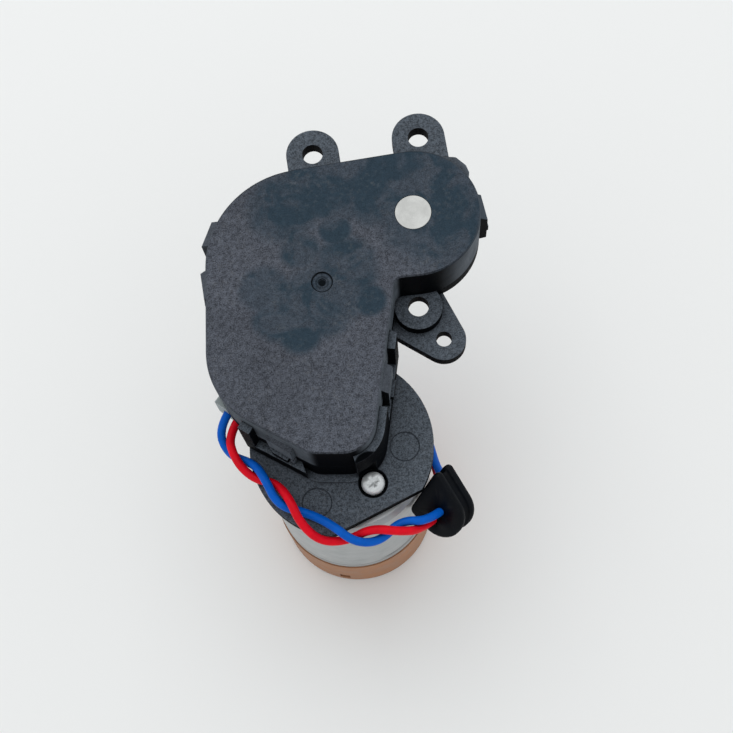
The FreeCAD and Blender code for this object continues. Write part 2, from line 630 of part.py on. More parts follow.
def rotor_windings():
    """One coil round each arm of the core."""
    low, high = CORE_LOW, CORE_HIGH
    start = HUB_RADIUS_OF_CORE + COIL_BUILD
    end = ROTOR_RADIUS - SHOE_THICKNESS - 2 * ROTOR_GAP
    coils = []
    for pole in range(ROTOR_POLES):
        angle = 360 * pole / ROTOR_POLES
        coil = block(ZERO, angle, start, end, POLE_WIDTH + 2 * COIL_BUILD, low - COIL_BUILD, high + COIL_BUILD)
        coils.append(coil.cut(block(ZERO, angle, 0, 2 * end, POLE_WIDTH, low, high)))
    return Part.Compound(coils)


def commutator():
    """The copper segments round the shaft, parted by narrow slots."""
    low = END_CAP_FLOOR + REAR_BUSH_LENGTH + 2 * CAN_TOP
    ring = cylinder(ZERO, COMMUTATOR_RADIUS, low, low + COMMUTATOR_LENGTH)
    for pole in range(ROTOR_POLES):
        slot = block(ZERO, 360 * pole / ROTOR_POLES, COMMUTATOR_RADIUS - COVER_WALL / 2,
                     2 * COMMUTATOR_RADIUS, BRUSH_GAP * 3, low, low + COMMUTATOR_LENGTH)
        ring = ring.cut(slot)
    return ring.cut(cylinder(ZERO, MOTOR_SHAFT_RADIUS, low, low + COMMUTATOR_LENGTH))


def brush_arm(side):
    """A spring arm from the cap's wall with a carbon block against the commutator."""
    low = END_CAP_FLOOR + REAR_BUSH_LENGTH + 2 * CAN_TOP + COMMUTATOR_LENGTH / 2 - BRUSH_SIZE / 2
    high = low + BRUSH_SIZE
    start = COMMUTATOR_RADIUS + BRUSH_GAP
    end = start + BRUSH_SIZE
    carbon = block(ZERO, side * 90, start, end, BRUSH_SIZE, low, high)
    strip = block(ZERO, side * 90, end, end + BRUSH_STRIP, 2 * CAP_INNER * BRUSH_STRIP_SHARE, low, high)
    return carbon.fuse(strip)


def terminal(angle):
    """A brass tab inside the cap that a wire's end is soldered to."""
    low = WIRE_PORT_HEIGHT - BRUSH_SIZE / 2
    face = CAP_INNER - TERMINAL_GAP
    return block(ZERO, angle, face - TERMINAL_THICKNESS, face, BRUSH_SIZE, low, low + BRUSH_SIZE)


def bush(outer, inner, low, high, axis=ZERO):
    """A plain bearing bush."""
    return cylinder(axis, outer, low, high).cut(cylinder(axis, inner, low, high))


def motor_screw(turn):
    """A pan head screw with a cross recess, from the flange into the can."""
    spot = polar(MOTOR_SCREW_SPACING / 2, MOTOR_SCREW_ANGLE + turn)
    seat = FLANGE_TOP - SCREW_SEAT_DEPTH
    head = cylinder(spot, SCREW_HEAD_RADIUS, seat, seat + SCREW_HEAD_HEIGHT)
    rim = [edge for edge in head.Edges if edge.BoundBox.ZMin > seat + SCREW_HEAD_HEIGHT / 2]
    head = head.makeFillet(SCREW_HEAD_HEIGHT * SCREW_ROUNDING, [edge for edge in rim if edge.Closed])
    reach = SCREW_HEAD_RADIUS * CROSS_REACH_SHARE
    for angle in (CROSS_ANGLE, CROSS_ANGLE + 90):
        slot = block(spot, angle, -reach, reach, SCREW_HEAD_RADIUS * CROSS_WIDTH_SHARE,
                     seat + SCREW_HEAD_HEIGHT / 2, TOP)
        head = head.cut(slot)
    return head.fuse(cylinder(spot, SCREW_RADIUS, FACE - CAN_TOP, seat))


def first_gear(phases):
    """The two-step wheel, moulded in one piece."""
    wheel = gear(FIRST_WHEEL_TEETH, FIRST_AXIS, phases["wheel"], LOWER_LAYER, LOWER_LAYER + FACE_WIDTH)
    small = gear(FIRST_PINION_TEETH, FIRST_AXIS, phases["small"], LOWER_LAYER + FACE_WIDTH, GEARS_TOP)
    bore = cylinder(FIRST_AXIS, AXLE_RADIUS + AXLE_CLEARANCE, 0, TOP)
    return wheel.fuse(small).cut(bore)


def idler_gear(phases):
    """The idler wheel with a thin web and a hub."""
    wheel = gear(IDLER_TEETH, IDLER_AXIS, phases["idler"], UPPER_LAYER, GEARS_TOP)
    rim = pitch_radius(IDLER_TEETH) - 3 * MODULE
    web = bush(rim, HUB_RADIUS, UPPER_LAYER, GEARS_TOP, IDLER_AXIS)
    thin = FACE_WIDTH / 4
    wheel = wheel.cut(web.common(cylinder(IDLER_AXIS, rim, GEARS_TOP - thin, GEARS_TOP)))
    return wheel.cut(cylinder(IDLER_AXIS, AXLE_RADIUS + AXLE_CLEARANCE, 0, TOP))


def output_gear(phases):
    """The last wheel, pressed on the output shaft."""
    wheel = gear(OUTPUT_TEETH, OUTPUT_AXIS, phases["output"], UPPER_LAYER, GEARS_TOP)
    return wheel.cut(cylinder(OUTPUT_AXIS, OUTPUT_SHAFT_RADIUS, 0, TOP))


def drive_socket():
    """The hub under the lobe, with the square socket that turns the brush."""
    high = CASE_UNDERSIDE - SOCKET_GAP
    low = high - SOCKET_HEIGHT
    hub = cylinder(OUTPUT_AXIS, SOCKET_RADIUS, low, high)
    hub = hub.cut(block(OUTPUT_AXIS, 0, -SOCKET_SQUARE / 2, SOCKET_SQUARE / 2, SOCKET_SQUARE,
                        low - 1, low + SOCKET_DEPTH))
    return hub.cut(cylinder(OUTPUT_AXIS, OUTPUT_SHAFT_RADIUS, low, TOP))


def output_shaft():
    """The ground shaft from the socket's end to the cover's top face."""
    low = CASE_UNDERSIDE - SOCKET_GAP - SOCKET_HEIGHT + SOCKET_DEPTH
    return cylinder(OUTPUT_AXIS, OUTPUT_SHAFT_RADIUS, low, TOP)


def axle(axis):
    """A fixed steel pin between the case and the cover."""
    return cylinder(axis, AXLE_RADIUS, PARTING - AXLE_SEAT, CEILING + CAP_SEAT)


def grommet_frame():
    """The placement of the grommet: its z axis leaves the front face, its y axis the flat side."""
    front = Vector(GROMMET_FRONT).normalize()
    flat = Vector(GROMMET_FLAT_SIDE)
    flat = (flat - front * flat.dot(front)).normalize()
    return FreeCAD.Placement(GROMMET_FACE, FreeCAD.Rotation(flat.cross(front), flat, front, "ZYX"))


def grommet_plate(share, low, high):
    """A drop-shaped plate of the grommet, at a share of its full outline."""
    circles = [(Vector(x, y, 0) * share, radius * share) for x, y, radius in GROMMET_OUTLINE]
    return prism(belt(circles), low, high)


def grommet():
    """The rubber grommet: two plates, the groove between them and a hole for each wire."""
    groove_low = -GROMMET_PLATE - GROMMET_GROOVE
    body = grommet_plate(1, -GROMMET_PLATE, 0)
    body = body.fuse(grommet_plate(GROMMET_GROOVE_SHARE, groove_low, -GROMMET_PLATE))
    body = body.fuse(grommet_plate(1, groove_low - GROMMET_PLATE, groove_low))
    for x, y in (GROMMET_BLUE, GROMMET_RED):
        body = body.cut(cylinder(Vector(x, y, 0), WIRE_RADIUS, 2 * groove_low, TOP))
    body.Placement = grommet_frame()
    return body.removeSplitter()


def through_grommet(hole, distance):
    """A point on a wire's straight run, at a distance in front of the grommet's face."""
    return grommet_frame().multVec(Vector(hole[0], hole[1], distance))


def connector_frame():
    """The placement of the connector: x runs from the wire entry to the open end, z is up."""
    reach = CAN_RADIUS + CONNECTOR_GAP + CONNECTOR_WIDTH / 2
    along = polar(1, SKIRT_LEFT_ANGLE - 90)
    top = CASE_UNDERSIDE - CONNECTOR_GAP
    origin = polar(reach, SKIRT_LEFT_ANGLE) + along * CONNECTOR_START
    origin.z = top - CONNECTOR_HEIGHT / 2
    return FreeCAD.Placement(origin, FreeCAD.Rotation(Vector(0, 0, 1), SKIRT_LEFT_ANGLE - 90))


def connector_housing():
    """The two-way plug housing under the gearbox, open at its mating end."""
    width, height = CONNECTOR_WIDTH, CONNECTOR_HEIGHT
    body = Part.makeBox(CONNECTOR_LENGTH, width, height, Vector(0, -width / 2, -height / 2))
    upright = [edge for edge in body.Edges if edge.BoundBox.XLength > CONNECTOR_LENGTH / 2]
    body = body.makeChamfer(COVER_EDGE, upright)
    for side in (-1, 1):
        middle = side * CONNECTOR_PITCH / 2
        body = body.cut(Part.makeCylinder(WIRE_RADIUS, 2 * ENTRY_DEPTH, Vector(-1, middle, 0), Vector(1, 0, 0)))
        body = body.cut(Part.makeBox(CONNECTOR_LENGTH, CONTACT_WIDTH, CONTACT_HEIGHT,
                                     Vector(ENTRY_DEPTH, middle - CONTACT_WIDTH / 2, -CONTACT_HEIGHT / 2)))
    body.Placement = connector_frame()
    return body


def connector_contacts():
    """The two crimped contacts inside the housing."""
    contacts = []
    for side in (-1, 1):
        middle = side * CONNECTOR_PITCH / 2
        width, height = CONTACT_WIDTH - FIT_GAP, CONTACT_HEIGHT - FIT_GAP
        box = Part.makeBox(CONTACT_LENGTH, width, height, Vector(ENTRY_DEPTH, middle - width / 2, -height / 2))
        mouth = Part.makeBox(CONTACT_LENGTH, width / 2, height / 2,
                             Vector(ENTRY_DEPTH + 1.0, middle - width / 4, -height / 4))
        contacts.append(box.cut(mouth))
    group = Part.Compound(contacts)
    group.Placement = connector_frame()
    return group


def at_connector(side, distance):
    """A point on a wire's straight run into the connector."""
    return connector_frame().multVec(Vector(distance, side * CONNECTOR_PITCH / 2, 0))


def wire_route(hole, port, behind, down, front, side):
    """The points of one wire, from its terminal through the grommet to the connector."""
    start, turn = CAP_INNER - TERMINAL_GAP, CAN_RADIUS + WIRE_TURN_REACH
    points = [polar(start, port, WIRE_PORT_HEIGHT), polar(turn, port, WIRE_PORT_HEIGHT)]
    points += [Vector(*point) for point in reversed(down)]
    points += [through_grommet(hole, behind), through_grommet(hole, BEFORE_GROMMET)]
    points += [Vector(*point) for point in front]
    points += [at_connector(side, BEFORE_CONNECTOR), at_connector(side, ENTRY_DEPTH)]
    return points


def tube(points, radius):
    """A wire's solid: straight runs joined by tangent arcs, each as large as its runs allow."""
    edges = []
    radii = []
    last = points[0]
    for before, corner, after in zip(points, points[1:], points[2:]):
        arrive = (corner - before).normalize()
        leave = (after - corner).normalize()
        turn = arrive.getAngle(leave)
        cut = WIRE_BEND_SHARE * min((corner - before).Length, (after - corner).Length)
        radii.append(cut / math.tan(turn / 2))
        begin, end = corner - arrive * cut, corner + leave * cut
        centre = corner + (leave - arrive).normalize() * (radii[-1] / math.cos(turn / 2))
        middle = centre + (corner - centre).normalize() * radii[-1]
        edges.append(Part.LineSegment(last, begin).toShape())
        edges.append(Part.Arc(begin, middle, end).toShape())
        last = end
    edges.append(Part.LineSegment(last, points[-1]).toShape())
    path = Part.Wire(edges)
    section = Part.Wire(Part.makeCircle(radius, points[0], points[1] - points[0]))
    solid = path.makePipeShell([section], True, True)
    expected = math.pi * radius ** 2 * path.Length
    print("wire: length %.1f, volume ratio %.4f, radii %s"
          % (path.Length, solid.Volume / expected, " ".join("%.1f" % r for r in radii)))
    return solid


def pieces():
    """Every piece of the motor by name."""
    phases = gear_phases()
    blue_port, red_port = wire_ports()
    red = wire_route(GROMMET_RED, red_port, BEHIND_GROMMET_RED, RED_DOWN, RED_FRONT, -1)
    blue = wire_route(GROMMET_BLUE, blue_port, BEHIND_GROMMET_BLUE, BLUE_DOWN, BLUE_FRONT, 1)
    front_bush = (FACE - CAN_BOSS_HEIGHT, FACE + CAN_BOSS_HEIGHT)
    rear_bush = (END_CAP_FLOOR, END_CAP_FLOOR + REAR_BUSH_LENGTH)
    shaft_low = END_CAP_FLOOR + SOCKET_GAP
    shaft_hole = MOTOR_SHAFT_RADIUS + AXLE_CLEARANCE
    pinion = gear(PINION_TEETH, ZERO, phases["pinion"], LOWER_LAYER, LOWER_LAYER + FACE_WIDTH)
    shaft = cylinder(ZERO, MOTOR_SHAFT_RADIUS, shaft_low, LOWER_LAYER + FACE_WIDTH)
    return {
        "gear_case": gear_case(),
        "gear_cover": gear_cover(),
        "motor_can": motor_can(),
        "end_cap": end_cap(),
        "magnet_left": magnet(180),
        "magnet_right": magnet(0),
        "front_bush": bush(BUSH_RADIUS, shaft_hole, *front_bush),
        "rear_bush": bush(BUSH_RADIUS, shaft_hole, *rear_bush),
        "brush_arm_front": brush_arm(-1),
        "brush_arm_rear": brush_arm(1),
        "terminal_red": terminal(red_port),
        "terminal_blue": terminal(blue_port),
        "motor_screws": Part.Compound([motor_screw(0), motor_screw(180)]),
        "motor_shaft": shaft,
        "rotor_core": rotor_core(),
        "rotor_windings": rotor_windings(),
        "commutator": commutator(),
        "motor_pinion": pinion.cut(cylinder(ZERO, MOTOR_SHAFT_RADIUS, 0, TOP)),
        "first_axle": axle(FIRST_AXIS),
        "first_gear": first_gear(phases),
        "idler_axle": axle(IDLER_AXIS),
        "idler_gear": idler_gear(phases),
        "output_bush": bush(OUTPUT_BUSH_RADIUS, OUTPUT_SHAFT_RADIUS + OUTPUT_CLEARANCE,
                            CASE_UNDERSIDE, CASE_UNDERSIDE + OUTPUT_BUSH_LENGTH, OUTPUT_AXIS),
        "output_gear": output_gear(phases),
        "output_shaft": output_shaft(),
        "drive_socket": drive_socket(),
        "grommet": grommet(),
        "red_wire": tube(red, WIRE_RADIUS),
        "blue_wire": tube(blue, WIRE_RADIUS),
        "connector_housing": connector_housing(),
        "connector_contacts": connector_contacts(),
    }


os.makedirs("parts", exist_ok=True)
for name, shape in pieces().items():
    shape.exportStep(os.path.join("parts", name + ".step"))
    print("%-20s solids %d volume %9.2f valid %s" % (name, len(shape.Solids), shape.Volume, shape.isValid()))
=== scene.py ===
"""Looks of a robot vacuum's main brush motor: a can motor under a flat gearbox, with a short twisted lead.

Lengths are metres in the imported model's own frame: the foot of the motor is at the origin, +Z is its axis.
Places that repeat the part's own drawing are written in millimetres and turned into metres by MM.
"""

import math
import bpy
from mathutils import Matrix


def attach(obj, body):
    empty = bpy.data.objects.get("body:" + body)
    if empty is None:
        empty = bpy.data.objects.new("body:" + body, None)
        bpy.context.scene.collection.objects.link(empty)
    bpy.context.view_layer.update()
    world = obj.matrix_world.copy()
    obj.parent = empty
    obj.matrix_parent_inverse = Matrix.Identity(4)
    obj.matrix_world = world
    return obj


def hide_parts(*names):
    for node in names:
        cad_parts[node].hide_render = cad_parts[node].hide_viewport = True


bl_info = {
    "name": "Brush Motor Looks",
    "version": (1, 0, 0),
    "blender": (4, 5, 0),
    "location": "View3D > Sidebar > Brush Motor",
    "description": "Dresses the packed brush motor in its real finishes",
    "category": "Object",
}

import bmesh
import bpy
from bpy.props import FloatProperty, FloatVectorProperty, PointerProperty
from mathutils import Matrix, Vector

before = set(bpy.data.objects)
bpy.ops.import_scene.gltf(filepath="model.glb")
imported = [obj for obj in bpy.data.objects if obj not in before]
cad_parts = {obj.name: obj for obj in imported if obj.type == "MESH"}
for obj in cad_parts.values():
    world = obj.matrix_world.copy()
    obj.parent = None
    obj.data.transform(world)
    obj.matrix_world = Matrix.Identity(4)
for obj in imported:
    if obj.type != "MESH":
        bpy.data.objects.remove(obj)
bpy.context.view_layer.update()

MM = 0.001

# Camera: fitted to the cover's outline, the shaft end, the ears' holes and the can's rim
PHOTO_WIDTH = 733
PHOTO_FOCAL = 1345.0
SENSOR_WIDTH = 36.0
CAMERA_ELEVATION = 72.74
CAMERA_ROLL = 9.15
CAMERA_DISTANCE = 201.2 * MM
CAMERA_TARGET = Vector((5.88, 7.65, 65.0)) * MM
CAMERA_NEAR = 0.01

# Lamp: a large soft square, its side and place in metres
LAMP_SIZE = 0.7
LAMP_PLACE = Vector((-0.03, 0.34, 0.75))

# Lead: each wire's route from the motor's foot, through the grommet and round the flange to the plug
WIRE_DIAMETER = 1.4 * MM
PORT_START = 11.0
PORT_TURN = 20.6
PORT_HEIGHT = 9.5
BEFORE_GROMMET = 3.4
BEFORE_PLUG = -2.6
INSIDE_PLUG = 2.5
RED_PORT_ANGLE = 60.0
RED_LENGTH = 0.110
RED_BEHIND_GROMMET = -7.0
RED_DOWN = ((14.8, -4.6, 34.0), (14.55, 4.2, 27.0), (11.5, 17.2, 19.0))
RED_FRONT = ((7.4, -15.4, 51.4), (2.6, -14.1, 51.7), (-1.2, -15.1, 49.6), (-5.5, -14.8, 50.7),
             (-8.1, -11.7, 52.9), (-9.1, -7.9, 53.8), (-11.0, -4.7, 51.9), (-14.4, -3.4, 51.2),
             (-16.8, -0.3, 52.5))
BLUE_PORT_ANGLE = 78.0
BLUE_LENGTH = 0.116
BLUE_BEHIND_GROMMET = -7.6
BLUE_DOWN = ((14.9, -4.4, 36.4), (14.45, 4.0, 31.0), (12.4, 11.8, 26.0), (5.5, 19.9, 19.5))
BLUE_FRONT = ((7.3, -13.3, 50.0), (3.7, -16.1, 49.9), (-0.2, -16.0, 51.9), (-3.3, -12.8, 52.9),
              (-6.7, -10.1, 51.0), (-11.1, -8.5, 52.6), (-12.5, -4.0, 53.5), (-14.0, -1.0, 51.5),
              (-18.1, 1.4, 50.1))

# Grommet: its front face's middle, outward direction and flat side, and the outline in that plane
GROMMET_FACE = (13.3, -12.5, 46.5)
GROMMET_FRONT = Vector((-0.578, -0.468, 0.668)).normalized()
GROMMET_FLAT_SIDE = Vector((0.714, 0.105, 0.692))
GROMMET_OUTLINE = ((-4.85, 3.4, 0.8), (-1.9, -3.4, 1.1), (0.4, 0.1, 4.0))
GROMMET_PLATE = 1.4
GROMMET_GROOVE = 1.7
GROOVE_DEPTH_SHARE = 0.9
GROMMET_ROUNDING = 0.28
GROMMET_ROUND_STEPS = ((0.0, 1.0), (0.03, 0.55), (0.12, 0.25), (0.28, 0.07))
GROMMET_BLUE = (0.0, 0.6)
GROMMET_RED = (0.6, -1.5)
HOLE_RADIUS = 0.72

# Plug: the start of its middle line under the gear case, and its direction
PLUG_PLACE = (-16.525, 7.257, 51.2)
PLUG_DIRECTION = 46.2
PLUG_PITCH = 2.0

# Screws: their places on the motor's face and the form of their heads
SCREW_CIRCLE = 8.0
SCREW_ANGLE = -60.0
SCREW_SEAT = 50.1
SCREW_SEAT_RADIUS = 2.35
SCREW_SHANK_FOOT = 47.3
SCREW_SHANK_RADIUS = 1.0
SCREW_TIP_SHARE = 0.7
SCREW_TIP_HEIGHT = 0.3
SCREW_SIDES = 48
SCREW_HEAD = ((1.80, 0.0), (1.85, 0.12), (1.85, 0.50), (1.80, 0.74), (1.66, 0.98), (1.40, 1.18), (1.05, 1.31),
              (0.62, 1.385), (0.28, 1.40))
CROSS_TURN = 25.0
CROSS_REACH = 0.95
CROSS_WIDTH = 0.24
CROSS_DEPTH = 0.45
CROSS_LOWEST = 0.98

# Ejector marks on the motor flange
EJECTOR_RADIUS = 2.4
EJECTOR_MARKS = ((9.82, -1.87), (-5.15, -8.57))

# Catch on the output lobe: radius and angle of its corners about the output axis, and its heights
CATCH_OUTLINE = ((10.2, 29.0), (11.5, 30.5), (12.0, 37.0), (12.1, 47.0), (11.4, 54.0), (10.2, 55.0))
CATCH_LEVELS = (58.0, 63.4)
CATCH_BEVEL = 0.08

# Level where the cover meets the case, and the width of the dark line there in metres
PARTING = 56.6
SEAM_WIDTH = 0.00018

# Upright axes, and the ring mark and its pit on the idler's
MOTOR_AXIS = (0.0, 0.0)
IDLER_AXIS = (1.2115, 22.15)
OUTPUT_AXIS = (16.8, 31.15)
RING_MARK_RADIUS = 1.67
PIT_RADIUS = 0.65
MARK_LINE = 0.2

# Dark bands round the can: height, width and the x from which each shows, and how far it fades in
CAN_BANDS = ((16.45, 0.4, -16.0), (17.6, 1.1, 3.0))
BAND_FADE = 1.5

# Places on the cover that have been handled: x, y and radius, and how far each spreads
HANDLED = ((4.4, 30.3, 1.8), (-1.4, 27.9, 2.2), (-7.6, 22.3, 2.7), (-6.7, 17.3, 2.4), (0.5, 19.3, 4.2),
           (5.0, 23.8, 3.6), (-3.2, 14.7, 2.4), (8.0, 18.0, 1.8), (21.0, 30.8, 6.8), (13.1, 35.6, 4.5),
           (4.9, 38.8, 5.1), (16.2, 40.2, 5.0), (-3.0, 35.0, 4.0))
HANDLED_SPREAD = 1.4


def linear(red, green, blue):
    """A colour for a shader from the three numbers, 0 to 255, that it shows on a screen."""
    def channel(value):
        level = value / 255
        return level / 12.92 if level <= 0.04045 else ((level + 0.055) / 1.055) ** 2.4
    return channel(red), channel(green), channel(blue)


def shade(label, red, green, blue):
    """A colour property whose default is a screen colour."""
    return FloatVectorProperty(name=label, description=label + " of the finish", subtype="COLOR", size=3,
                               min=0.0, max=1.0, default=linear(red, green, blue))


def share(label, description, default, most=1.0):
    """A factor property from 0 to its most."""
    return FloatProperty(name=label, description=description, subtype="FACTOR", min=0.0, max=most,
                         default=default)


class StageSettings(bpy.types.PropertyGroup):
    """Floor, light and camera."""
    floor_size: FloatProperty(name="Floor size", description="Side of the floor", unit="LENGTH", default=4.0)
    floor_colour: shade("Floor colour", 236, 238, 238)
    sky: share("Sky light", "Strength of the even light from all round", 0.78)
    key: FloatProperty(name="Key light", description="Power of the large soft lamp", unit="POWER",
                       default=2.2)


class ShellSettings(bpy.types.PropertyGroup):
    """Gear cover and gear case."""
    # Top colours are grey from painted sheen of the overhead light; the cover's dusty colour holds its
    # settled grime too. The wall colour is the plastic's own near-black.
    cover_dust_and_sheen: shade("Cover, dusty colour", 71, 75, 83)
    cover_cool: shade("Cover, handled colour", 44, 58, 69)
    case_colour: shade("Case colour", 78, 85, 93)
    wall_colour: shade("Wall colour", 3, 4, 6)
    wall_glare: shade("Wall glare", 88, 95, 103)
    grain: share("Grain", "Contrast of the spark-eroded grain", 1.25, most=2.0)


class MotorSettings(bpy.types.PropertyGroup):
    """Can, end cap, screws and what is inside."""
    can_colour: shade("Can colour", 168, 172, 173)
    cap_colour: shade("End cap colour", 160, 114, 82)
    screw_colour: shade("Screw colour", 219, 224, 226)


class WireSettings(bpy.types.PropertyGroup):
    """The two wires and the plug."""
    red: shade("Red jacket", 218, 12, 34)
    blue: shade("Blue jacket", 2, 90, 192)
    plug: shade("Plug colour", 138, 149, 151)


class RubberSettings(bpy.types.PropertyGroup):
    """The grommet."""
    rubber: shade("Rubber colour", 5, 9, 15)


class GearSettings(bpy.types.PropertyGroup):
    """The gear train and the output drive."""
    acetal: shade("Wheel colour", 226, 222, 208)
    shaft_end: shade("Shaft end colour", 194, 196, 194)


class BrushMotorSettings(bpy.types.PropertyGroup):
    """All settings of the brush motor."""
    stage: PointerProperty(type=StageSettings)
    shell: PointerProperty(type=ShellSettings)
    motor: PointerProperty(type=MotorSettings)
    wires: PointerProperty(type=WireSettings)
    rubber: PointerProperty(type=RubberSettings)
    gears: PointerProperty(type=GearSettings)


# Shader effects that several finishes share

class Tree:
    """Short ways to add nodes to a node tree."""

    def __init__(self, tree):
        self.tree = tree

    def add(self, kind, sockets=None, **settings):
        """A new node with its settings and sockets; a socket given another node's output is linked to it."""
        node = self.tree.nodes.new(kind)
        for name, value in settings.items():
            setattr(node, name, value)
        for name, value in (sockets or {}).items():
            self.plug(node.inputs[name], value)
        return node

    def plug(self, socket, value):
        """Links a socket to an output, or sets its value."""
        if isinstance(value, bpy.types.NodeSocket):
            self.tree.links.new(value, socket)
        else:
            socket.default_value = value

    def maths(self, operation, first, second=0.0, clamp=False):
        """The result of one sum."""
        node = self.add("ShaderNodeMath", {0: first, 1: second}, operation=operation, use_clamp=clamp)
        return node.outputs[0]

    def vector(self, operation, first, second, output="Vector"):
        """The result of one vector sum."""
        return self.add("ShaderNodeVectorMath", {0: first, 1: second}, operation=operation).outputs[output]

    def between(self, value, low, high, start=0.0, end=1.0, smooth=False):
        """A value moved from one range to another and held within it."""
        kind = "SMOOTHSTEP" if smooth else "LINEAR"
        node = self.add("ShaderNodeMapRange", {"Value": value, "From Min": low, "From Max": high,
                                               "To Min": start, "To Max": end}, interpolation_type=kind)
        return node.outputs["Result"]

    def mixed(self, factor, first, second, mode="MIX"):
        """Two colours mixed by a factor."""
        node = self.add("ShaderNodeMix", {0: factor}, data_type="RGBA", blend_type=mode)
        for socket, value in ((node.inputs[6], first), (node.inputs[7], second)):
            self.plug(socket, value if isinstance(value, bpy.types.NodeSocket) else (*value, 1.0))
        return node.outputs[2]

    def over(self, under, top, mask, amount):
        """A colour with another laid over it by an amount of a mask."""
        return self.mixed(self.maths("MULTIPLY", mask, amount), under, top)

    def noise(self, scale, detail=2.0, roughness=0.5, distortion=0.0, vector=None):
        """Even noise over the object's own coordinates."""
        if vector is None:
            vector = self.coordinates()
        node = self.add("ShaderNodeTexNoise", {"Vector": vector, "Scale": scale, "Detail": detail,
                                               "Roughness": roughness, "Distortion": distortion})
        return node.outputs["Fac"]

    def coordinates(self, output="Object"):
        """The object's own coordinates, or its own normal."""
        return self.add("ShaderNodeTexCoord").outputs[output]

    def split(self, output="Object"):
        """The X, Y and Z of the object's own coordinates, or of its own normal."""
        return self.add("ShaderNodeSeparateXYZ", {"Vector": self.coordinates(output)}).outputs


class Effect(Tree):
    """A node group while it is built, with named inputs and outputs."""

    def __init__(self, name, inputs, outputs):
        self.group = bpy.data.node_groups.new(name, "ShaderNodeTree")
        super().__init__(self.group)
        for label, default in inputs.items():
            socket = self.group.interface.new_socket(label, in_out="INPUT", socket_type="NodeSocketFloat")
            socket.default_value = default
        for label, kind in outputs.items():
            self.group.interface.new_socket(label, in_out="OUTPUT", socket_type="NodeSocket" + kind)
        self.given = self.group.nodes.new("NodeGroupInput").outputs
        self.result = self.group.nodes.new("NodeGroupOutput").inputs

    def put_out(self, name, value):
        """Sends a value to one of the group's outputs."""
        self.plug(self.result[name], value)


def shared(build):
    """The node group that a function builds, named after it and built the first time it is asked for."""
    name = build.__name__.replace("_", " ").capitalize()
    return bpy.data.node_groups.get(name) or build(name).group


def moulded_grain(name):
    """The fine pitted grain of a spark-eroded mould, in two sizes, with sparse pale specks."""
    effect = Effect(name, {"Grain Scale": 5200.0, "Speck Share": 0.08},
                    {"Grain": "Float", "Specks": "Float", "Relief": "Float"})
    fine = effect.noise(effect.given["Grain Scale"], detail=3.0, roughness=0.65)
    coarse = effect.noise(effect.maths("MULTIPLY", effect.given["Grain Scale"], 0.38))
    grain = effect.maths("ADD", effect.maths("MULTIPLY", fine, 0.68), effect.maths("MULTIPLY", coarse, 0.32))
    effect.put_out("Grain", effect.between(grain, 0.38, 0.62))
    sparse = effect.noise(effect.maths("MULTIPLY", effect.given["Grain Scale"], 0.72), detail=1.0)
    level = effect.maths("SUBTRACT", 0.76, effect.given["Speck Share"])
    effect.put_out("Specks", effect.between(sparse, level, effect.maths("ADD", level, 0.06)))
    effect.put_out("Relief", grain)
    return effect


def handled_patches(name):
    """Soft uneven patches, as handling leaves on a matt surface."""
    effect = Effect(name, {"Patch Scale": 90.0, "Patch Edge": 0.12}, {"Patches": "Float"})
    broad = effect.noise(effect.given["Patch Scale"], detail=4.0, roughness=0.55, distortion=0.6)
    edge = effect.given["Patch Edge"]
    low, high = effect.maths("SUBTRACT", 0.5, edge), effect.maths("ADD", 0.5, edge)
    effect.put_out("Patches", effect.between(broad, low, high, smooth=True))
    return effect


def edge_wear_and_shading(name):
    """The worn line along outer edges, broken up by noise, which the finishes also paint as edge highlight
    and edge shade, and the softened normal there.
    """
    effect = Effect(name, {"Edge Width": 0.00022, "Edge Breakup": 0.5},
                    {"Edge": "Float", "Soft Normal": "Vector"})
    soft = effect.add("ShaderNodeBevel", {"Radius": effect.given["Edge Width"]}, samples=6).outputs[0]
    true = effect.add("ShaderNodeNewGeometry").outputs["Normal"]
    lean = effect.vector("DOT_PRODUCT", soft, true, output="Value")
    line = effect.between(lean, 0.985, 0.80)
    rough = effect.noise(900.0, detail=3.0)
    kept = effect.between(rough, 0.35, 0.65, effect.maths("SUBTRACT", 1.0, effect.given["Edge Breakup"]), 1.0)
    effect.put_out("Edge", effect.maths("MULTIPLY", line, kept, clamp=True))
    effect.put_out("Soft Normal", soft)
    return effect


def dust_and_corner_shade(name):
    """Dust in fine pale motes on faces that look up, and painted shade that darkens narrow corners."""
    effect = Effect(name, {"Dust Scale": 1500.0, "Corner Reach": 0.0014},
                    {"Dust": "Float", "Corner": "Float"})
    facing_up = effect.between(effect.split("Normal")["Z"], 0.4, 0.95)
    motes = effect.noise(effect.given["Dust Scale"], detail=4.0, roughness=0.7)
    drift = effect.noise(140.0, detail=3.0)
    amount = effect.maths("MULTIPLY", effect.between(motes, 0.52, 0.72), effect.between(drift, 0.35, 0.7))
    effect.put_out("Dust", effect.maths("MULTIPLY", amount, facing_up))
    # Corner is painted shade: ambient occlusion darkens narrow corners.
    open_air = effect.add("ShaderNodeAmbientOcclusion", {"Distance": effect.given["Corner Reach"]},
                          samples=8).outputs["AO"]
    effect.put_out("Corner", effect.between(open_air, 0.75, 0.2))
    return effect


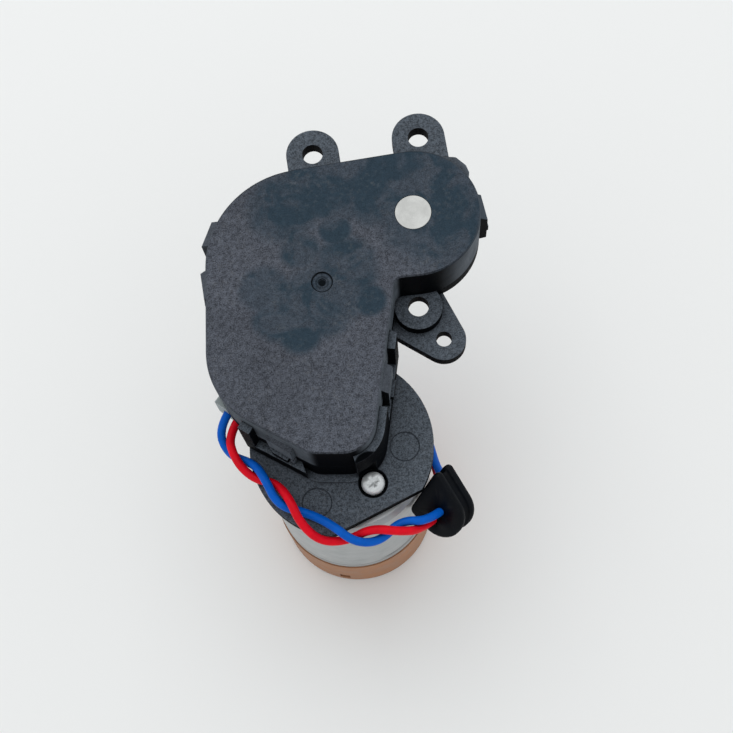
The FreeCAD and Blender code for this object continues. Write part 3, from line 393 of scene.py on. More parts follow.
def lathe_lines(name):
    """Fine lines round an upright axis, spaced along it and from it, as turning and drawing leave."""
    effect = Effect(name, {"Axis X": 0.0, "Axis Y": 0.0, "Line Scale": 9000.0, "Waver": 0.15},
                    {"Lines": "Float", "Smears": "Float"})
    place = effect.split()
    east = effect.maths("SUBTRACT", place["X"], effect.given["Axis X"])
    north = effect.maths("SUBTRACT", place["Y"], effect.given["Axis Y"])
    reach = effect.maths("SQRT", effect.maths("ADD", effect.maths("MULTIPLY", east, east),
                                              effect.maths("MULTIPLY", north, north)))
    turn = effect.maths("MULTIPLY", effect.maths("ARCTAN2", north, east), 0.0006)
    wound = effect.add("ShaderNodeCombineXYZ", {"X": reach, "Y": turn, "Z": place["Z"]}).outputs[0]
    effect.put_out("Lines", effect.noise(effect.given["Line Scale"], distortion=effect.given["Waver"],
                                         vector=wound))
    effect.put_out("Smears", effect.noise(220.0, detail=3.0, roughness=0.6))
    return effect


class Finish(Tree):
    """One material while it is built."""

    def __init__(self, name, roughness=0.5, metallic=0.0, **constants):
        self.material = bpy.data.materials.new(name)
        self.material.use_nodes = True
        super().__init__(self.material.node_tree)
        self.surface = next(n for n in self.tree.nodes if n.type == "BSDF_PRINCIPLED")
        self.feed(Roughness=roughness, Metallic=metallic, **constants)

    def effect(self, build, **values):
        """The outputs of a shared effect, with this finish's own values."""
        node = self.tree.nodes.new("ShaderNodeGroup")
        node.node_tree = shared(build)
        for label, value in values.items():
            node.inputs[label.replace("_", " ")].default_value = value
        return node.outputs

    def feed(self, **sockets):
        """Sets or links the surface's own inputs."""
        for name, value in sockets.items():
            self.plug(self.surface.inputs[name.replace("_", " ")], value)

    def relief(self, height, depth, normal=None):
        """Raises the surface by a height, in metres at its most, over the given normal."""
        bump = self.add("ShaderNodeBump", {"Height": height, "Distance": depth, "Strength": 1.0})
        if normal is not None:
            self.plug(bump.inputs["Normal"], normal)
        self.feed(Normal=bump.outputs["Normal"])


# Finishes

# The first colour is painted shade for narrow corners.
CORNER_SHADE = linear(6, 8, 11)
BAND_DARK = linear(22, 24, 26)
PALE_DUST = linear(150, 150, 148)
BRONZE = linear(176, 128, 74)


def times(colour, factor):
    """A colour made lighter or darker by a factor."""
    return tuple(min(1.0, channel * factor) for channel in colour)


def near(finish, x, y, radius, soft=0.35):
    """A mask round an upright line at a place in millimetres: 1 inside, fading over its soft edge."""
    flat = finish.vector("MULTIPLY", finish.coordinates(), (1.0, 1.0, 0.0))
    reach = finish.vector("DISTANCE", flat, (x * MM, y * MM, 0.0), output="Value")
    return finish.between(reach, radius * MM * (1 - soft), radius * MM * (1 + soft), 1.0, 0.0, smooth=True)


def outline(finish, x, y, radius, inner=0.04):
    """A mask of the thin line round a moulded mark, where painted shade outlines the step of its recess."""
    return finish.maths("SUBTRACT", near(finish, x, y, radius, soft=0.04),
                        near(finish, x, y, radius - MARK_LINE, soft=inner))


def upward(finish):
    """A mask of the faces that look up."""
    return finish.between(finish.split("Normal")["Z"], 0.55, 0.85)


def wall_colour(finish, walls, glare, grain):
    """Nearly black walls, greyed where they face left or right and catch the light along them."""
    across = finish.split("Normal")["X"]
    facing = finish.between(finish.maths("ABSOLUTE", across), 0.2, 0.75, smooth=True)
    streaks = finish.add("ShaderNodeMapping", {"Vector": finish.coordinates(), "Scale": (1.0, 1.0, 0.6)})
    broken = finish.between(finish.noise(420.0, detail=3.0, vector=streaks.outputs[0]), 0.36, 0.6)
    lit = finish.maths("MULTIPLY", facing, finish.between(broken, 0.0, 1.0, 0.7, 1.0))
    plain = finish.over(walls, times(walls, 1.8), grain, 0.5)
    grey = finish.over(glare, times(glare, 0.75), grain, 0.5)
    return finish.mixed(lit, plain, grey)


def seam(finish, colour):
    """A colour with the dark, slightly wavering hairline where the cover meets the case."""
    waver = finish.between(finish.noise(260.0), 0.0, 1.0, -SEAM_WIDTH, SEAM_WIDTH)
    height = finish.maths("ADD", finish.split()["Z"], waver)
    away = finish.maths("ABSOLUTE", finish.maths("SUBTRACT", height, PARTING * MM))
    line = finish.between(away, SEAM_WIDTH * 0.6, SEAM_WIDTH * 1.3, 1.0, 0.0)
    return finish.mixed(line, colour, linear(4, 6, 9))


def close_shell(finish, face, walls, glare, effects, edge_wear_and_shade, amount):
    """Joins a moulding's tops, painted lighter as the lit side, and its near-black walls, and adds its seam,
    worn edges with painted edge shading, painted shade in corners, and grain.
    """
    grain, edge, dust_and_shade = effects
    side = seam(finish, wall_colour(finish, walls, glare, grain["Grain"]))
    # Painted light: the upward mask gives the tops their lit colour, and the edge colour lays wear with
    # painted edge shading, light on the case and dark on the cover.
    colour = finish.over(finish.mixed(upward(finish), side, face), edge_wear_and_shade, edge["Edge"], amount)
    # Painted shade: narrow corners darkened by ambient occlusion.
    finish.feed(Base_Color=finish.over(colour, CORNER_SHADE, dust_and_shade["Corner"], 0.85))
    finish.relief(grain["Relief"], depth=0.00002, normal=edge["Soft Normal"])


def black_moulding(name, tops, walls, grain_share, grain_scale=4800.0, seats=(), marks=()):
    """Glass-filled black plastic: grainy, with its upper faces painted grey as the sheen of the overhead
    light, nearly black on its walls.

    Seats are the places of sunk screws, each ringed with painted near-black shade, and marks are the places
    of ejector marks, each outlined with painted shade.
    """
    finish = Finish(name, roughness=0.62, Specular_IOR_Level=0.02)
    grain = finish.effect(moulded_grain, Grain_Scale=grain_scale, Speck_Share=0.05)
    edge = finish.effect(edge_wear_and_shading, Edge_Width=0.00018, Edge_Breakup=0.6)
    dust_and_shade = finish.effect(dust_and_corner_shade)
    # Painted light: the top colour's grey is the sheen of the overhead light on black plastic.
    face = finish.mixed(grain["Grain"], times(tops, 1 - grain_share), times(tops, 1 + grain_share))
    face = finish.over(face, linear(128, 126, 128), grain["Specks"], 0.35)
    face = finish.over(face, PALE_DUST, dust_and_shade["Dust"], 0.12)
    # Painted shade: a near-black ring in each screw seat.
    for x, y in seats:
        face = finish.mixed(near(finish, x, y, SCREW_SEAT_RADIUS, soft=0.06), face, linear(5, 7, 10))
    # Painted shade: a dark line round each ejector mark's step.
    for x, y in marks:
        face = finish.over(face, linear(16, 20, 26), outline(finish, x, y, EJECTOR_RADIUS), 0.6)
    finish.feed(Roughness=finish.between(grain["Grain"], 0.0, 1.0, 0.52, 0.72))
    # The lighter edge colour is wear with a painted edge highlight.
    close_shell(finish, face, walls, times(walls, 2.0), (grain, edge, dust_and_shade), linear(92, 98, 106), 0.35)
    return finish.material


def ring_mark_shade(finish):
    """Painted shade in the ring mark: a dark line round its rim, the black of its pit and a soft shaded ring
    round the pit.
    """
    rim = outline(finish, *IDLER_AXIS, RING_MARK_RADIUS, inner=0.08)
    shade_ring = finish.maths("SUBTRACT", near(finish, *IDLER_AXIS, PIT_RADIUS + 0.4, soft=0.1),
                              near(finish, *IDLER_AXIS, PIT_RADIUS + 0.12, soft=0.1))
    pit = near(finish, *IDLER_AXIS, PIT_RADIUS * 0.8, soft=0.1)
    marks = finish.maths("MAXIMUM", rim, finish.maths("MULTIPLY", shade_ring, 0.5))
    return finish.maths("MAXIMUM", marks, pit, clamp=True)


def cover_moulding(shell):
    """The cover's finish: the moulding with cooler, smoother places where it has been handled."""
    finish = Finish("cover_moulding", roughness=0.6, Specular_IOR_Level=0.02)
    patches = finish.effect(handled_patches, Patch_Scale=190.0, Patch_Edge=0.08)["Patches"]
    handled = 0.0
    for x, y, radius in HANDLED:
        handled = finish.maths("MAXIMUM", handled, near(finish, x, y, radius * HANDLED_SPREAD, soft=0.25))
    handled = finish.maths("MULTIPLY", handled, finish.between(patches, 0.0, 1.0, 0.5, 1.0))
    drift = finish.effect(handled_patches, Patch_Scale=55.0, Patch_Edge=0.2)["Patches"]
    # Dust and painted sheen of the overhead light together make the grey of the tops.
    dusty = finish.mixed(drift, times(shell.cover_dust_and_sheen, 0.94), times(shell.cover_dust_and_sheen, 1.16))
    tops = finish.mixed(handled, dusty, tuple(shell.cover_cool))
    grain = finish.effect(moulded_grain, Grain_Scale=5000.0, Speck_Share=0.06)
    edge = finish.effect(edge_wear_and_shading, Edge_Width=0.00016, Edge_Breakup=0.7)
    dust_and_shade = finish.effect(dust_and_corner_shade)
    rough_grain = finish.maths("MULTIPLY", finish.maths("SUBTRACT", grain["Grain"], 0.5),
                               finish.between(handled, 0.0, 1.0, shell.grain, shell.grain * 0.35))
    factor = finish.maths("ADD", 1.0, rough_grain)
    factor = finish.add("ShaderNodeCombineColor", {"Red": factor, "Green": factor, "Blue": factor}).outputs[0]
    face = finish.mixed(1.0, tops, factor, mode="MULTIPLY")
    open_grain = finish.maths("MULTIPLY", grain["Specks"], finish.between(handled, 0.0, 1.0, 0.3, 0.05))
    face = finish.mixed(open_grain, face, linear(116, 116, 122))
    face = finish.over(face, PALE_DUST, dust_and_shade["Dust"], 0.15)
    # Painted shade in the ring mark's recess and pit.
    face = finish.over(face, linear(5, 8, 12), ring_mark_shade(finish), 0.95)
    finish.feed(Roughness=finish.between(handled, 0.0, 1.0, 0.66, 0.48))
    # The dark edge colour is painted shade: a line along the cover's outer edges.
    close_shell(finish, face, tuple(shell.wall_colour), tuple(shell.wall_glare), (grain, edge, dust_and_shade),
                linear(8, 11, 15), 0.9)
    return finish.material


def case_moulding(shell):
    """The gear case's finish, with painted shade in the screw seats and round the two ejector marks."""
    seats = [polar(SCREW_CIRCLE, SCREW_ANGLE + turn, 0.0) / MM for turn in (0, 180)]
    return black_moulding("case_moulding", tuple(shell.case_colour), tuple(shell.wall_colour), 0.55,
                          seats=[seat.xy for seat in seats], marks=EJECTOR_MARKS)


def socket_moulding(shell):
    """The drive socket's finish, darker and with a coarser grain."""
    return black_moulding("socket_moulding", times(shell.wall_colour, 1.3), tuple(shell.wall_colour), 0.25,
                          grain_scale=1900.0)


def metal(name, colour, roughness, line_scale=9000.0, axis=MOTOR_AXIS, contrast=0.18, tarnish=None,
          metallic=1.0, corners=0.6, bands=()):
    """Turned, drawn or ground metal: lines round an axis, smears, edges brightened by wear and a painted
    highlight, painted shade in corners, and dark bands.
    """
    finish = Finish(name, roughness=roughness, metallic=metallic)
    lathe = finish.effect(lathe_lines, Axis_X=axis[0] * MM, Axis_Y=axis[1] * MM, Line_Scale=line_scale)
    edge = finish.effect(edge_wear_and_shading, Edge_Width=0.00012, Edge_Breakup=0.4)
    dust_and_shade = finish.effect(dust_and_corner_shade, Corner_Reach=0.001)
    dull = times(colour, 1 - contrast)
    bright = times(colour, 1 + contrast * 0.6)
    shades = finish.mixed(finish.between(lathe["Lines"], 0.3, 0.7), dull, bright)
    old = tarnish or times(colour, 0.8)
    shades = finish.mixed(finish.between(lathe["Smears"], 0.52, 0.75, 0.0, 0.6), shades, old)
    # Edges: wear with a painted highlight; then painted shade in corners, as strong as corners gives.
    shades = finish.over(shades, times(colour, 1.2), edge["Edge"], 0.5)
    shades = finish.over(shades, times(colour, 0.2), dust_and_shade["Corner"], corners)
    for height, width, start in bands:
        place = finish.split()
        away = finish.maths("ABSOLUTE", finish.maths("SUBTRACT", place["Z"], height * MM))
        band = finish.between(away, width * MM * 0.25, width * MM * 0.7, 1.0, 0.0)
        shown = finish.between(place["X"], start * MM, (start + BAND_FADE) * MM)
        shades = finish.over(shades, BAND_DARK, finish.maths("MULTIPLY", band, shown), 0.75)
    rough = finish.between(lathe["Smears"], 0.3, 0.7, roughness * 0.85, min(1.0, roughness * 1.3))
    finish.feed(Base_Color=shades, Roughness=rough)
    finish.relief(lathe["Lines"], depth=0.000006, normal=edge["Soft Normal"])
    return finish.material


def smooth_plastic(name, colour, roughness, mottling=0.12, grain_scale=3400.0, depth=0.000008,
                   specular=0.3, edge_scuff_and_highlight=None, dusty=0.15):
    """Plain moulded plastic: slight mottling, worn edges with a painted highlight, settled pale motes, and
    painted shade in corners.
    """
    finish = Finish(name, roughness=roughness, Specular_IOR_Level=specular)
    grain = finish.effect(moulded_grain, Grain_Scale=grain_scale, Speck_Share=0.02)
    patches = finish.effect(handled_patches, Patch_Scale=260.0, Patch_Edge=0.2)["Patches"]
    edge = finish.effect(edge_wear_and_shading, Edge_Width=0.00012, Edge_Breakup=0.6)
    dust_and_shade = finish.effect(dust_and_corner_shade, Corner_Reach=0.0009)
    shades = finish.mixed(patches, times(colour, 1 - mottling), times(colour, 1 + mottling))
    shades = finish.over(shades, times(colour, 1 - mottling), grain["Grain"], 0.35)
    # Worn edges with a painted highlight, settled pale motes, then painted shade in corners.
    shades = finish.over(shades, edge_scuff_and_highlight or times(colour, 1.35), edge["Edge"], 0.4)
    shades = finish.over(shades, linear(190, 188, 184), dust_and_shade["Dust"], dusty)
    shades = finish.over(shades, times(colour, 0.25), dust_and_shade["Corner"], 0.6)
    rough = finish.between(patches, 0.0, 1.0, roughness * 0.85, min(1.0, roughness * 1.2))
    finish.feed(Base_Color=shades, Roughness=rough)
    finish.relief(grain["Relief"], depth, edge["Soft Normal"])
    return finish.material


def wire_jacket(name, colour):
    """Soft extruded jacket: even deep colour, faintly worn, with fine unevenness and painted shade in
    corners.
    """
    finish = Finish(name, roughness=0.42, Specular_IOR_Level=0.09)
    grain = finish.effect(moulded_grain, Grain_Scale=2200.0, Speck_Share=0.01)
    patches = finish.effect(handled_patches, Patch_Scale=420.0, Patch_Edge=0.2)["Patches"]
    dust_and_shade = finish.effect(dust_and_corner_shade, Corner_Reach=0.0006)
    shades = finish.mixed(patches, times(colour, 0.88), times(colour, 1.08))
    shades = finish.over(shades, times(colour, 0.8), grain["Grain"], 0.2)
    # Painted shade: corners darkened by ambient occlusion.
    shades = finish.over(shades, times(colour, 0.22), dust_and_shade["Corner"], 0.7)
    finish.feed(Base_Color=shades, Roughness=finish.between(patches, 0.0, 1.0, 0.36, 0.5))
    finish.relief(grain["Relief"], depth=0.000006)
    return finish.material


def coil_wire():
    """Enamelled copper turns: fine ridges across the arm, with the enamel's amber sheen."""
    finish = Finish("coil_wire", roughness=0.34, metallic=0.85)
    turns = finish.add("ShaderNodeTexWave", {"Vector": finish.coordinates(), "Scale": 620.0,
                                             "Distortion": 1.4, "Detail": 1.0},
                       bands_direction="Z").outputs["Fac"]
    colour = finish.mixed(turns, linear(96, 38, 18), linear(196, 112, 62))
    level = finish.between(finish.split()["Z"], 0.015, 0.045, 0.0, 0.25)
    colour = finish.mixed(level, colour, linear(150, 84, 40))
    finish.feed(Base_Color=colour)
    finish.relief(turns, depth=0.00006)
    return finish.material


def stacked_iron():
    """Punched sheets on top of each other, each a thin line, with rust-brown bloom."""
    finish = Finish("stacked_iron", roughness=0.5, metallic=0.9)
    sheets = finish.add("ShaderNodeTexWave", {"Vector": finish.coordinates(), "Scale": 500.0},
                        bands_direction="Z").outputs["Fac"]
    bloom = finish.effect(handled_patches, Patch_Scale=420.0)["Patches"]
    colour = finish.mixed(sheets, linear(88, 88, 90), linear(142, 142, 144))
    colour = finish.over(colour, linear(96, 74, 58), bloom, 0.3)
    finish.feed(Base_Color=colour)
    finish.relief(sheets, depth=0.00004)
    return finish.material


# Geometry helpers

def around(x, y, radius, angle):
    """The place at a radius and an angle, in radians, from another."""
    return x + radius * math.cos(angle), y + radius * math.sin(angle)


def polar(radius, degrees, height):
    """A point in metres about the motor's axis, from millimetres and degrees."""
    return Vector((*around(*MOTOR_AXIS, radius, math.radians(degrees)), height)) * MM


def add_object(name, data):
    """A new object in the scene."""
    item = bpy.data.objects.new(name, data)
    bpy.context.scene.collection.objects.link(item)
    return item


def add_mesh(name, mesh, body, material):
    """A finished bmesh as a piece that rides on a body."""
    data = bpy.data.meshes.new(name)
    mesh.to_mesh(data)
    mesh.free()
    for face in data.polygons:
        face.use_smooth = True
    piece = add_object(name, data)
    data.materials.append(material)
    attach(piece, body)
    return piece


def dress(material, *nodes):
    """Gives CAD nodes a finish."""
    for node in nodes:
        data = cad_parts[node].data
        data.materials.clear()
        data.materials.append(material)


def grommet_place():
    """The grommet's placement: z leaves its front face, y is its flat side."""
    flat = (GROMMET_FLAT_SIDE - GROMMET_FRONT * GROMMET_FLAT_SIDE.dot(GROMMET_FRONT)).normalized()
    turn = Matrix((flat.cross(GROMMET_FRONT), flat, GROMMET_FRONT)).transposed().to_4x4()
    return Matrix.Translation(Vector(GROMMET_FACE) * MM) @ turn @ Matrix.Scale(MM, 4)


def plug_place():
    """The plug's placement: x runs from the wires' entry to its open end, z is up."""
    turn = Matrix.Rotation(math.radians(PLUG_DIRECTION), 4, "Z")
    return Matrix.Translation(Vector(PLUG_PLACE) * MM) @ turn @ Matrix.Scale(MM, 4)


def wire_route(port, down, hole, behind, front, side):
    """The points of one wire, from inside the motor's foot through the grommet to the plug."""
    through, entry = grommet_place(), plug_place()
    points = [polar(PORT_START, port, PORT_HEIGHT), polar(PORT_TURN, port, PORT_HEIGHT)]
    points += [Vector(point) * MM for point in reversed(down)]
    points += [through @ Vector((*hole, reach)) for reach in (behind, BEFORE_GROMMET)]
    points += [Vector(point) * MM for point in front]
    points += [entry @ Vector((reach, side * PLUG_PITCH / 2, 0)) for reach in (BEFORE_PLUG, INSIDE_PLUG)]
    return points


def round_wire(name, points, material):
    """A wire as one smooth spline through its route."""
    data = bpy.data.curves.new(name, "CURVE")
    data.dimensions = "3D"
    data.bevel_depth = WIRE_DIAMETER / 2
    data.bevel_resolution = 4
    data.resolution_u = 10
    spline = data.splines.new("NURBS")
    spline.points.add(len(points) - 1)
    for knot, point in zip(spline.points, points):
        knot.co = (*point, 1.0)
    spline.order_u = 3
    spline.use_endpoint_u = True
    data.materials.append(material)
    piece = add_object(name, data)
    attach(piece, "housing")
    return piece


def belt(circles, shrink, steps=14):
    """The corners of a tight belt round circles that are named counter-clockwise, moved inwards."""
    corners = []
    lean = []
    for index, (x, y, radius) in enumerate(circles):
        next_x, next_y, next_radius = circles[(index + 1) % len(circles)]
        reach = math.hypot(next_x - x, next_y - y)
        lean.append(math.atan2(next_y - y, next_x - x) - math.acos((radius - next_radius) / reach))
    for index, (x, y, radius) in enumerate(circles):
        arrive, leave = lean[index - 1], lean[index]
        while leave < arrive:
            leave += 2 * math.pi
        for step in range(steps + 1):
            corners.append(around(x, y, radius - shrink, arrive + (leave - arrive) * step / steps))
    return corners


def ring(mesh, corners, height, place):
    """A closed loop of vertices from plane corners at a height."""
    return [mesh.verts.new(place @ Vector((x, y, height))) for x, y in corners]


def bridge(mesh, first, second):
    """Quads between two loops of the same length."""
    count = len(first)
    for index in range(count):
        following = (index + 1) % count
        mesh.faces.new((first[index], first[following], second[following], second[index]))


def circle(x, y, radius, steps=20):
    """The corners of a circle."""
    return [around(x, y, radius, 2 * math.pi * step / steps) for step in range(steps)]


def close_with_holes(mesh, outer, holes):
    """Fills the flat area between an outer loop and the loops of its holes."""
    edges = []
    for loop in [outer] + holes:
        for index, vertex in enumerate(loop):
            following = loop[(index + 1) % len(loop)]
            edges.append(mesh.edges.get((vertex, following)) or mesh.edges.new((vertex, following)))
    bmesh.ops.triangle_fill(mesh, edges=edges, use_beauty=True)


class BrushMotorStep:
    """What every step of the build has in common."""
    bl_options = {"REGISTER", "UNDO"}


class BRUSHMOTOR_OT_stage(BrushMotorStep, bpy.types.Operator):
    """Adds the floor, the light and the camera at the photograph's angle"""
    bl_idname = "brush_motor.stage"
    bl_label = "Stage"

    def execute(self, context):
        settings = context.scene.brush_motor.stage
        context.scene.view_settings.view_transform = "Standard"
        self.camera(context.scene)
        self.floor(settings)
        self.light(context.scene, settings)
        return {"FINISHED"}

    def camera(self, scene):
        """The camera, rolled as the photograph is."""
        elevation, roll = math.radians(CAMERA_ELEVATION), math.radians(CAMERA_ROLL)
        forward = Vector((0, math.cos(elevation), -math.sin(elevation)))
        level, rise = Vector((1, 0, 0)), Vector((0, math.sin(elevation), math.cos(elevation)))
        right = level * math.cos(roll) - rise * math.sin(roll)
        up = level * math.sin(roll) + rise * math.cos(roll)
        data = bpy.data.cameras.new("Photo camera")
        data.sensor_width = SENSOR_WIDTH
        data.lens = PHOTO_FOCAL / PHOTO_WIDTH * SENSOR_WIDTH
        data.clip_start = CAMERA_NEAR
        camera = add_object("Photo camera", data)
        turn = Matrix((right, up, -forward)).transposed().to_4x4()
        camera.matrix_world = Matrix.Translation(CAMERA_TARGET - forward * CAMERA_DISTANCE) @ turn
        scene.camera = camera

    def floor(self, settings):
        """A plain pale floor with a very slight unevenness."""
        finish = Finish("floor_paper", roughness=0.9, Specular_IOR_Level=0.1)
        pale = tuple(settings.floor_colour)
        finish.feed(Base_Color=finish.mixed(finish.noise(3.0), times(pale, 0.985), pale))
        half = settings.floor_size / 2
        mesh = bmesh.new()
        square = ((-half, -half), (half, -half), (half, half), (-half, half))
        mesh.faces.new([mesh.verts.new((x, y, 0)) for x, y in square])
        data = bpy.data.meshes.new("Floor")
        mesh.to_mesh(data)
        mesh.free()
        data.materials.append(finish.material)
        floor = add_object("Floor", data)

    def light(self, scene, settings):
        """Even light from all round and one large soft lamp high up."""
        world = bpy.data.worlds.new("Soft room")
        world.use_nodes = True
        back = world.node_tree.nodes["Background"]
        back.inputs["Color"].default_value = (1.0, 1.0, 1.0, 1.0)
        back.inputs["Strength"].default_value = settings.sky
        scene.world = world
        data = bpy.data.lights.new("Window", "AREA")
        data.shape = "SQUARE"
        data.size = LAMP_SIZE
        data.energy = settings.key
        lamp = add_object("Window", data)
        aim = LAMP_PLACE.to_track_quat("Z", "Y").to_matrix().to_4x4()
        lamp.matrix_world = Matrix.Translation(LAMP_PLACE) @ aim


class BRUSHMOTOR_OT_wires(BrushMotorStep, bpy.types.Operator):
    """Adds the red and the blue wire on their routes"""
    bl_idname = "brush_motor.wires"
    bl_label = "Wires"

    def execute(self, context):
        settings = context.scene.brush_motor.wires
        red = wire_route(RED_PORT_ANGLE, RED_DOWN, GROMMET_RED, RED_BEHIND_GROMMET, RED_FRONT, -1)
        blue = wire_route(BLUE_PORT_ANGLE, BLUE_DOWN, GROMMET_BLUE, BLUE_BEHIND_GROMMET, BLUE_FRONT, 1)
        self.wire("red_wire", red, RED_LENGTH, settings.red)
        self.wire("blue_wire", blue, BLUE_LENGTH, settings.blue)
        return {"FINISHED"}

    def wire(self, name, points, length, colour):
        """One wire in its jacket, as a smooth spline to the plug, in place of the part's own wire."""
        piece = round_wire(name + "_piece", points, wire_jacket(name + "_jacket", tuple(colour)))
        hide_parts(name)


class BRUSHMOTOR_OT_grommet(BrushMotorStep, bpy.types.Operator):
    """Adds the rubber grommet with its groove and wire holes"""
    bl_idname = "brush_motor.grommet"
    bl_label = "Grommet"

    def execute(self, context):
        settings = context.scene.brush_motor.rubber
        # The lighter edge colour is wear with a painted highlight along the rubber's edges.
        rubber = smooth_plastic("grommet_rubber", tuple(settings.rubber), 0.5, mottling=0.25, specular=0.1,
                                grain_scale=1500.0, depth=0.00001, edge_scuff_and_highlight=linear(52, 60, 68), dusty=0.02)
        piece = add_mesh("grommet_piece", self.body(), "housing", rubber)
        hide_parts("grommet")
        return {"FINISHED"}

    def body(self):
        """Two rounded plates and the groove between them, with a hole for each wire."""
        mesh = bmesh.new()
        place = grommet_place()
        depth = 2 * GROMMET_PLATE + GROMMET_GROOVE
        sunk = min(radius for _, _, radius in GROMMET_OUTLINE) * GROOVE_DEPTH_SHARE
        steps = [(down, GROMMET_ROUNDING * part) for down, part in GROMMET_ROUND_STEPS]
        profile = []
        for top in (0.0, -GROMMET_PLATE - GROMMET_GROOVE):
            profile += [(top - down, inside) for down, inside in steps] + [(top - GROMMET_ROUNDING, 0.0)]
            profile += [(top - GROMMET_PLATE + down, inside) for down, inside in reversed(steps)]
            if top == 0.0:
                profile += [(-GROMMET_PLATE, sunk), (-GROMMET_PLATE - GROMMET_GROOVE, sunk)]
        loops = [ring(mesh, belt(GROMMET_OUTLINE, inside), height, place) for height, inside in profile]
        for first, second in zip(loops, loops[1:]):
            bridge(mesh, first, second)
        holes = []
        for x, y in (GROMMET_BLUE, GROMMET_RED):
            corners = circle(x, y, HOLE_RADIUS)
            front, back = ring(mesh, corners, 0.0, place), ring(mesh, corners, -depth, place)
            bridge(mesh, front, back)
            holes.append((front, back))
        close_with_holes(mesh, loops[0], [front for front, _ in holes])
        close_with_holes(mesh, loops[-1], [back for _, back in holes])
        bmesh.ops.recalc_face_normals(mesh, faces=mesh.faces)
        return mesh


class BRUSHMOTOR_OT_plug(BrushMotorStep, bpy.types.Operator):
    """Finishes the plug and its contacts"""
    bl_idname = "brush_motor.plug"
    bl_label = "Plug"

    def execute(self, context):
        settings = context.scene.brush_motor.wires
        dress(smooth_plastic("plug_nylon", tuple(settings.plug), 0.5, mottling=0.06), "connector_housing")
        dress(metal("contact_tin", linear(196, 186, 150), 0.3), "connector_contacts")
        return {"FINISHED"}


class BRUSHMOTOR_OT_shell(BrushMotorStep, bpy.types.Operator):
    """Finishes the gear cover and the gear case"""
    bl_idname = "brush_motor.shell"
    bl_label = "Gear cover and case"

    def execute(self, context):
        settings = context.scene.brush_motor.shell
        dress(cover_moulding(settings), "gear_cover")
        dress(case_moulding(settings), "gear_case")
        return {"FINISHED"}


class BRUSHMOTOR_OT_catch(BrushMotorStep, bpy.types.Operator):
    """Adds the small catch on the output lobe's side"""
    bl_idname = "brush_motor.catch"
    bl_label = "Catch"

    def execute(self, context):
        shell = context.scene.brush_motor.shell
        mesh = bmesh.new()
        corners = [around(*OUTPUT_AXIS, radius, math.radians(angle)) for radius, angle in CATCH_OUTLINE]
        loops = [ring(mesh, corners, height, Matrix.Scale(MM, 4)) for height in CATCH_LEVELS]
        bridge(mesh, *loops)
        for loop in loops:
            mesh.faces.new(loop)
        bmesh.ops.recalc_face_normals(mesh, faces=mesh.faces)
        bmesh.ops.bevel(mesh, geom=mesh.edges[:], offset=CATCH_BEVEL * MM, segments=2, affect="EDGES")
        # The catch's walls take the painted wall glare, and its tops the case's painted sheen.
        dark = black_moulding("catch_moulding", times(shell.case_colour, 0.75),
                              times(shell.wall_glare, 0.7), 0.4)
        add_mesh("cover_catch", mesh, "housing", dark)
        return {"FINISHED"}


class BRUSHMOTOR_OT_motor(BrushMotorStep, bpy.types.Operator):
    """Finishes the can, the end cap and the motor's fixed parts"""
    bl_idname = "brush_motor.motor"
    bl_label = "Motor"

    def execute(self, context):
        settings = context.scene.brush_motor.motor
        dress(metal("drawn_steel", tuple(settings.can_colour), 0.42, line_scale=2400.0, contrast=0.08,
                    metallic=0.55, bands=CAN_BANDS), "motor_can")
        dress(smooth_plastic("brown_moulding", tuple(settings.cap_colour), 0.55, grain_scale=1800.0),
              "end_cap")
        dress(smooth_plastic("ferrite", linear(62, 62, 66), 0.6, grain_scale=1500.0), "magnet_left",
              "magnet_right")
        dress(metal("sintered_bronze", BRONZE, 0.5, line_scale=5200.0), "front_bush", "rear_bush")
        dress(metal("spring_copper", linear(196, 124, 82), 0.38, tarnish=linear(120, 70, 48)),
              "brush_arm_front", "brush_arm_rear")
        dress(metal("terminal_brass", linear(208, 172, 96), 0.34, tarnish=linear(140, 108, 58)),
              "terminal_red", "terminal_blue")
        return {"FINISHED"}


class BRUSHMOTOR_OT_rotor(BrushMotorStep, bpy.types.Operator):
    """Finishes what turns inside the can"""
    bl_idname = "brush_motor.rotor"
    bl_label = "Rotor"

    def execute(self, context):
        dress(metal("ground_shaft", linear(188, 190, 192), 0.25), "motor_shaft", "first_axle", "idler_axle")
        dress(stacked_iron(), "rotor_core")
        dress(coil_wire(), "rotor_windings")
        dress(metal("commutator_copper", linear(204, 128, 88), 0.3, tarnish=linear(110, 60, 42)),
              "commutator")
        dress(metal("pinion_brass", linear(212, 178, 102), 0.32, tarnish=linear(150, 118, 62)),
              "motor_pinion")
        return {"FINISHED"}


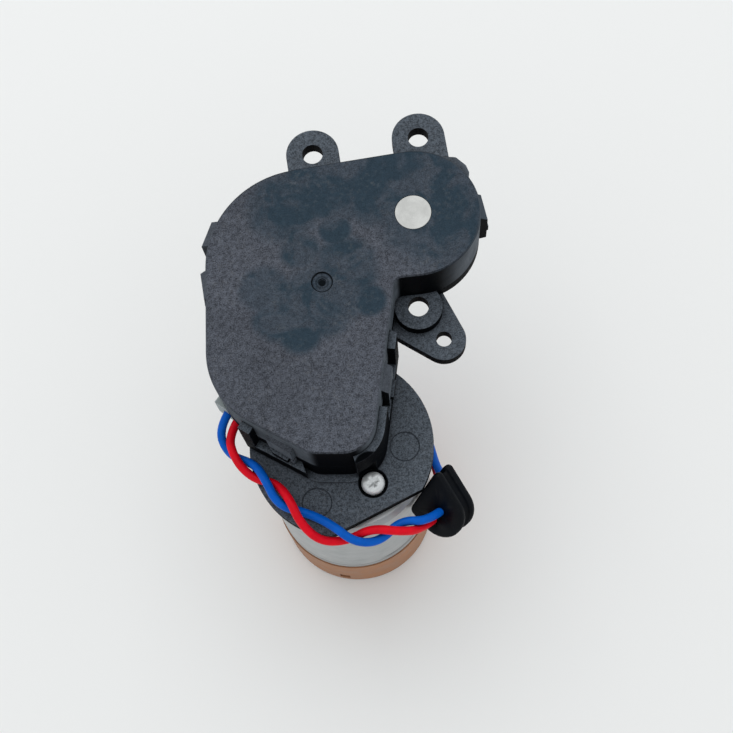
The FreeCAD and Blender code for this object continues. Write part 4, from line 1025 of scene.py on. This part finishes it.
class BRUSHMOTOR_OT_screws(BrushMotorStep, bpy.types.Operator):
    """Adds the two screws that hold the motor, with domed heads and cross recesses"""
    bl_idname = "brush_motor.screws"
    bl_label = "Motor screws"

    def execute(self, context):
        settings = context.scene.brush_motor.motor
        # corners sets the strength of the painted corner shade.
        zinc = metal("zinc_plate", tuple(settings.screw_colour), 0.34, line_scale=5000.0, contrast=0.12,
                     metallic=0.5, corners=0.2)
        mesh = bmesh.new()
        for turn in (0, 180):
            self.screw(mesh, polar(SCREW_CIRCLE, SCREW_ANGLE + turn, SCREW_SEAT), turn)
        bmesh.ops.recalc_face_normals(mesh, faces=mesh.faces)
        piece = add_mesh("motor_screw_pieces", mesh, "housing", zinc)
        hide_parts("motor_screws")
        return {"FINISHED"}

    def screw(self, mesh, seat, turn):
        """One screw: its shank, and a head turned from a profile with a tapered cross pressed into it."""
        place = Matrix.Translation(seat) @ Matrix.Rotation(math.radians(CROSS_TURN + turn), 4, "Z")
        place = place @ Matrix.Scale(MM, 4)
        shank = SCREW_SHANK_FOOT - SCREW_SEAT
        profile = [(SCREW_SHANK_RADIUS * SCREW_TIP_SHARE, shank),
                   (SCREW_SHANK_RADIUS, shank + SCREW_TIP_HEIGHT), (SCREW_SHANK_RADIUS, 0.0), *SCREW_HEAD]
        loops = []
        for radius, height in profile:
            corners = circle(0, 0, radius, SCREW_SIDES)
            lowered = [(x, y, height - self.recess(x, y, height)) for x, y in corners]
            loops.append([mesh.verts.new(place @ Vector(corner)) for corner in lowered])
        for first, second in zip(loops, loops[1:]):
            bridge(mesh, first, second)
        mesh.faces.new(loops[0])
        mesh.faces.new(loops[-1])

    def recess(self, x, y, height):
        """How deep the cross is pressed in at a place on the head."""
        if height < CROSS_LOWEST:
            return 0.0
        along, across = max(abs(x), abs(y)), min(abs(x), abs(y))
        if along > CROSS_REACH or across > CROSS_WIDTH:
            return 0.0
        return CROSS_DEPTH * (1 - along / CROSS_REACH) ** 0.5


class BRUSHMOTOR_OT_gears(BrushMotorStep, bpy.types.Operator):
    """Finishes the wheels of the gear train"""
    bl_idname = "brush_motor.gears"
    bl_label = "Gear train"

    def execute(self, context):
        settings = context.scene.brush_motor.gears
        # The brighter edge colour is wear with a painted highlight along the wheels' edges.
        acetal = smooth_plastic("wheel_acetal", tuple(settings.acetal), 0.42, mottling=0.04,
                                edge_scuff_and_highlight=linear(246, 244, 236))
        dress(acetal, "first_gear", "idler_gear", "output_gear")
        return {"FINISHED"}


class BRUSHMOTOR_OT_output(BrushMotorStep, bpy.types.Operator):
    """Finishes the output shaft, its bush and the drive socket"""
    bl_idname = "brush_motor.output"
    bl_label = "Output drive"

    def execute(self, context):
        settings = context.scene.brush_motor
        dress(metal("ground_end", tuple(settings.gears.shaft_end), 0.55, axis=OUTPUT_AXIS, line_scale=3000.0,
                    contrast=0.05, metallic=0.25), "output_shaft")
        dress(metal("output_bronze", BRONZE, 0.5, axis=OUTPUT_AXIS), "output_bush")
        dress(socket_moulding(settings.shell), "drive_socket")
        return {"FINISHED"}


STEPS = (BRUSHMOTOR_OT_stage, BRUSHMOTOR_OT_wires, BRUSHMOTOR_OT_grommet, BRUSHMOTOR_OT_plug,
         BRUSHMOTOR_OT_shell, BRUSHMOTOR_OT_catch, BRUSHMOTOR_OT_motor, BRUSHMOTOR_OT_rotor,
         BRUSHMOTOR_OT_screws, BRUSHMOTOR_OT_gears, BRUSHMOTOR_OT_output)


class BRUSHMOTOR_PT_panel(bpy.types.Panel):
    """Lists the settings and the steps"""
    bl_idname = "BRUSHMOTOR_PT_panel"
    bl_label = "Brush Motor"
    bl_space_type = "VIEW_3D"
    bl_region_type = "UI"
    bl_category = "Brush Motor"

    def draw(self, context):
        settings = context.scene.brush_motor
        for group in (settings.stage, settings.shell, settings.motor, settings.wires, settings.rubber,
                      settings.gears):
            box = self.layout.box()
            for name in group.bl_rna.properties.keys():
                if name not in ("rna_type", "name"):
                    box.prop(group, name)
        for step in STEPS:
            self.layout.operator(step.bl_idname)


CLASSES = (StageSettings, ShellSettings, MotorSettings, WireSettings, RubberSettings, GearSettings,
           BrushMotorSettings, *STEPS, BRUSHMOTOR_PT_panel)


def register():
    """Adds the settings, the steps and the panel to Blender."""
    for item in CLASSES:
        bpy.utils.register_class(item)
    bpy.types.Scene.brush_motor = PointerProperty(type=BrushMotorSettings)


def unregister():
    """Takes them out again."""
    del bpy.types.Scene.brush_motor
    for item in reversed(CLASSES):
        bpy.utils.unregister_class(item)


def main():
    """Builds every look in order."""
    register()
    for step in STEPS:
        section, name = step.bl_idname.split(".")
        getattr(getattr(bpy.ops, section), name)()


if __name__ == "__main__":
    main()
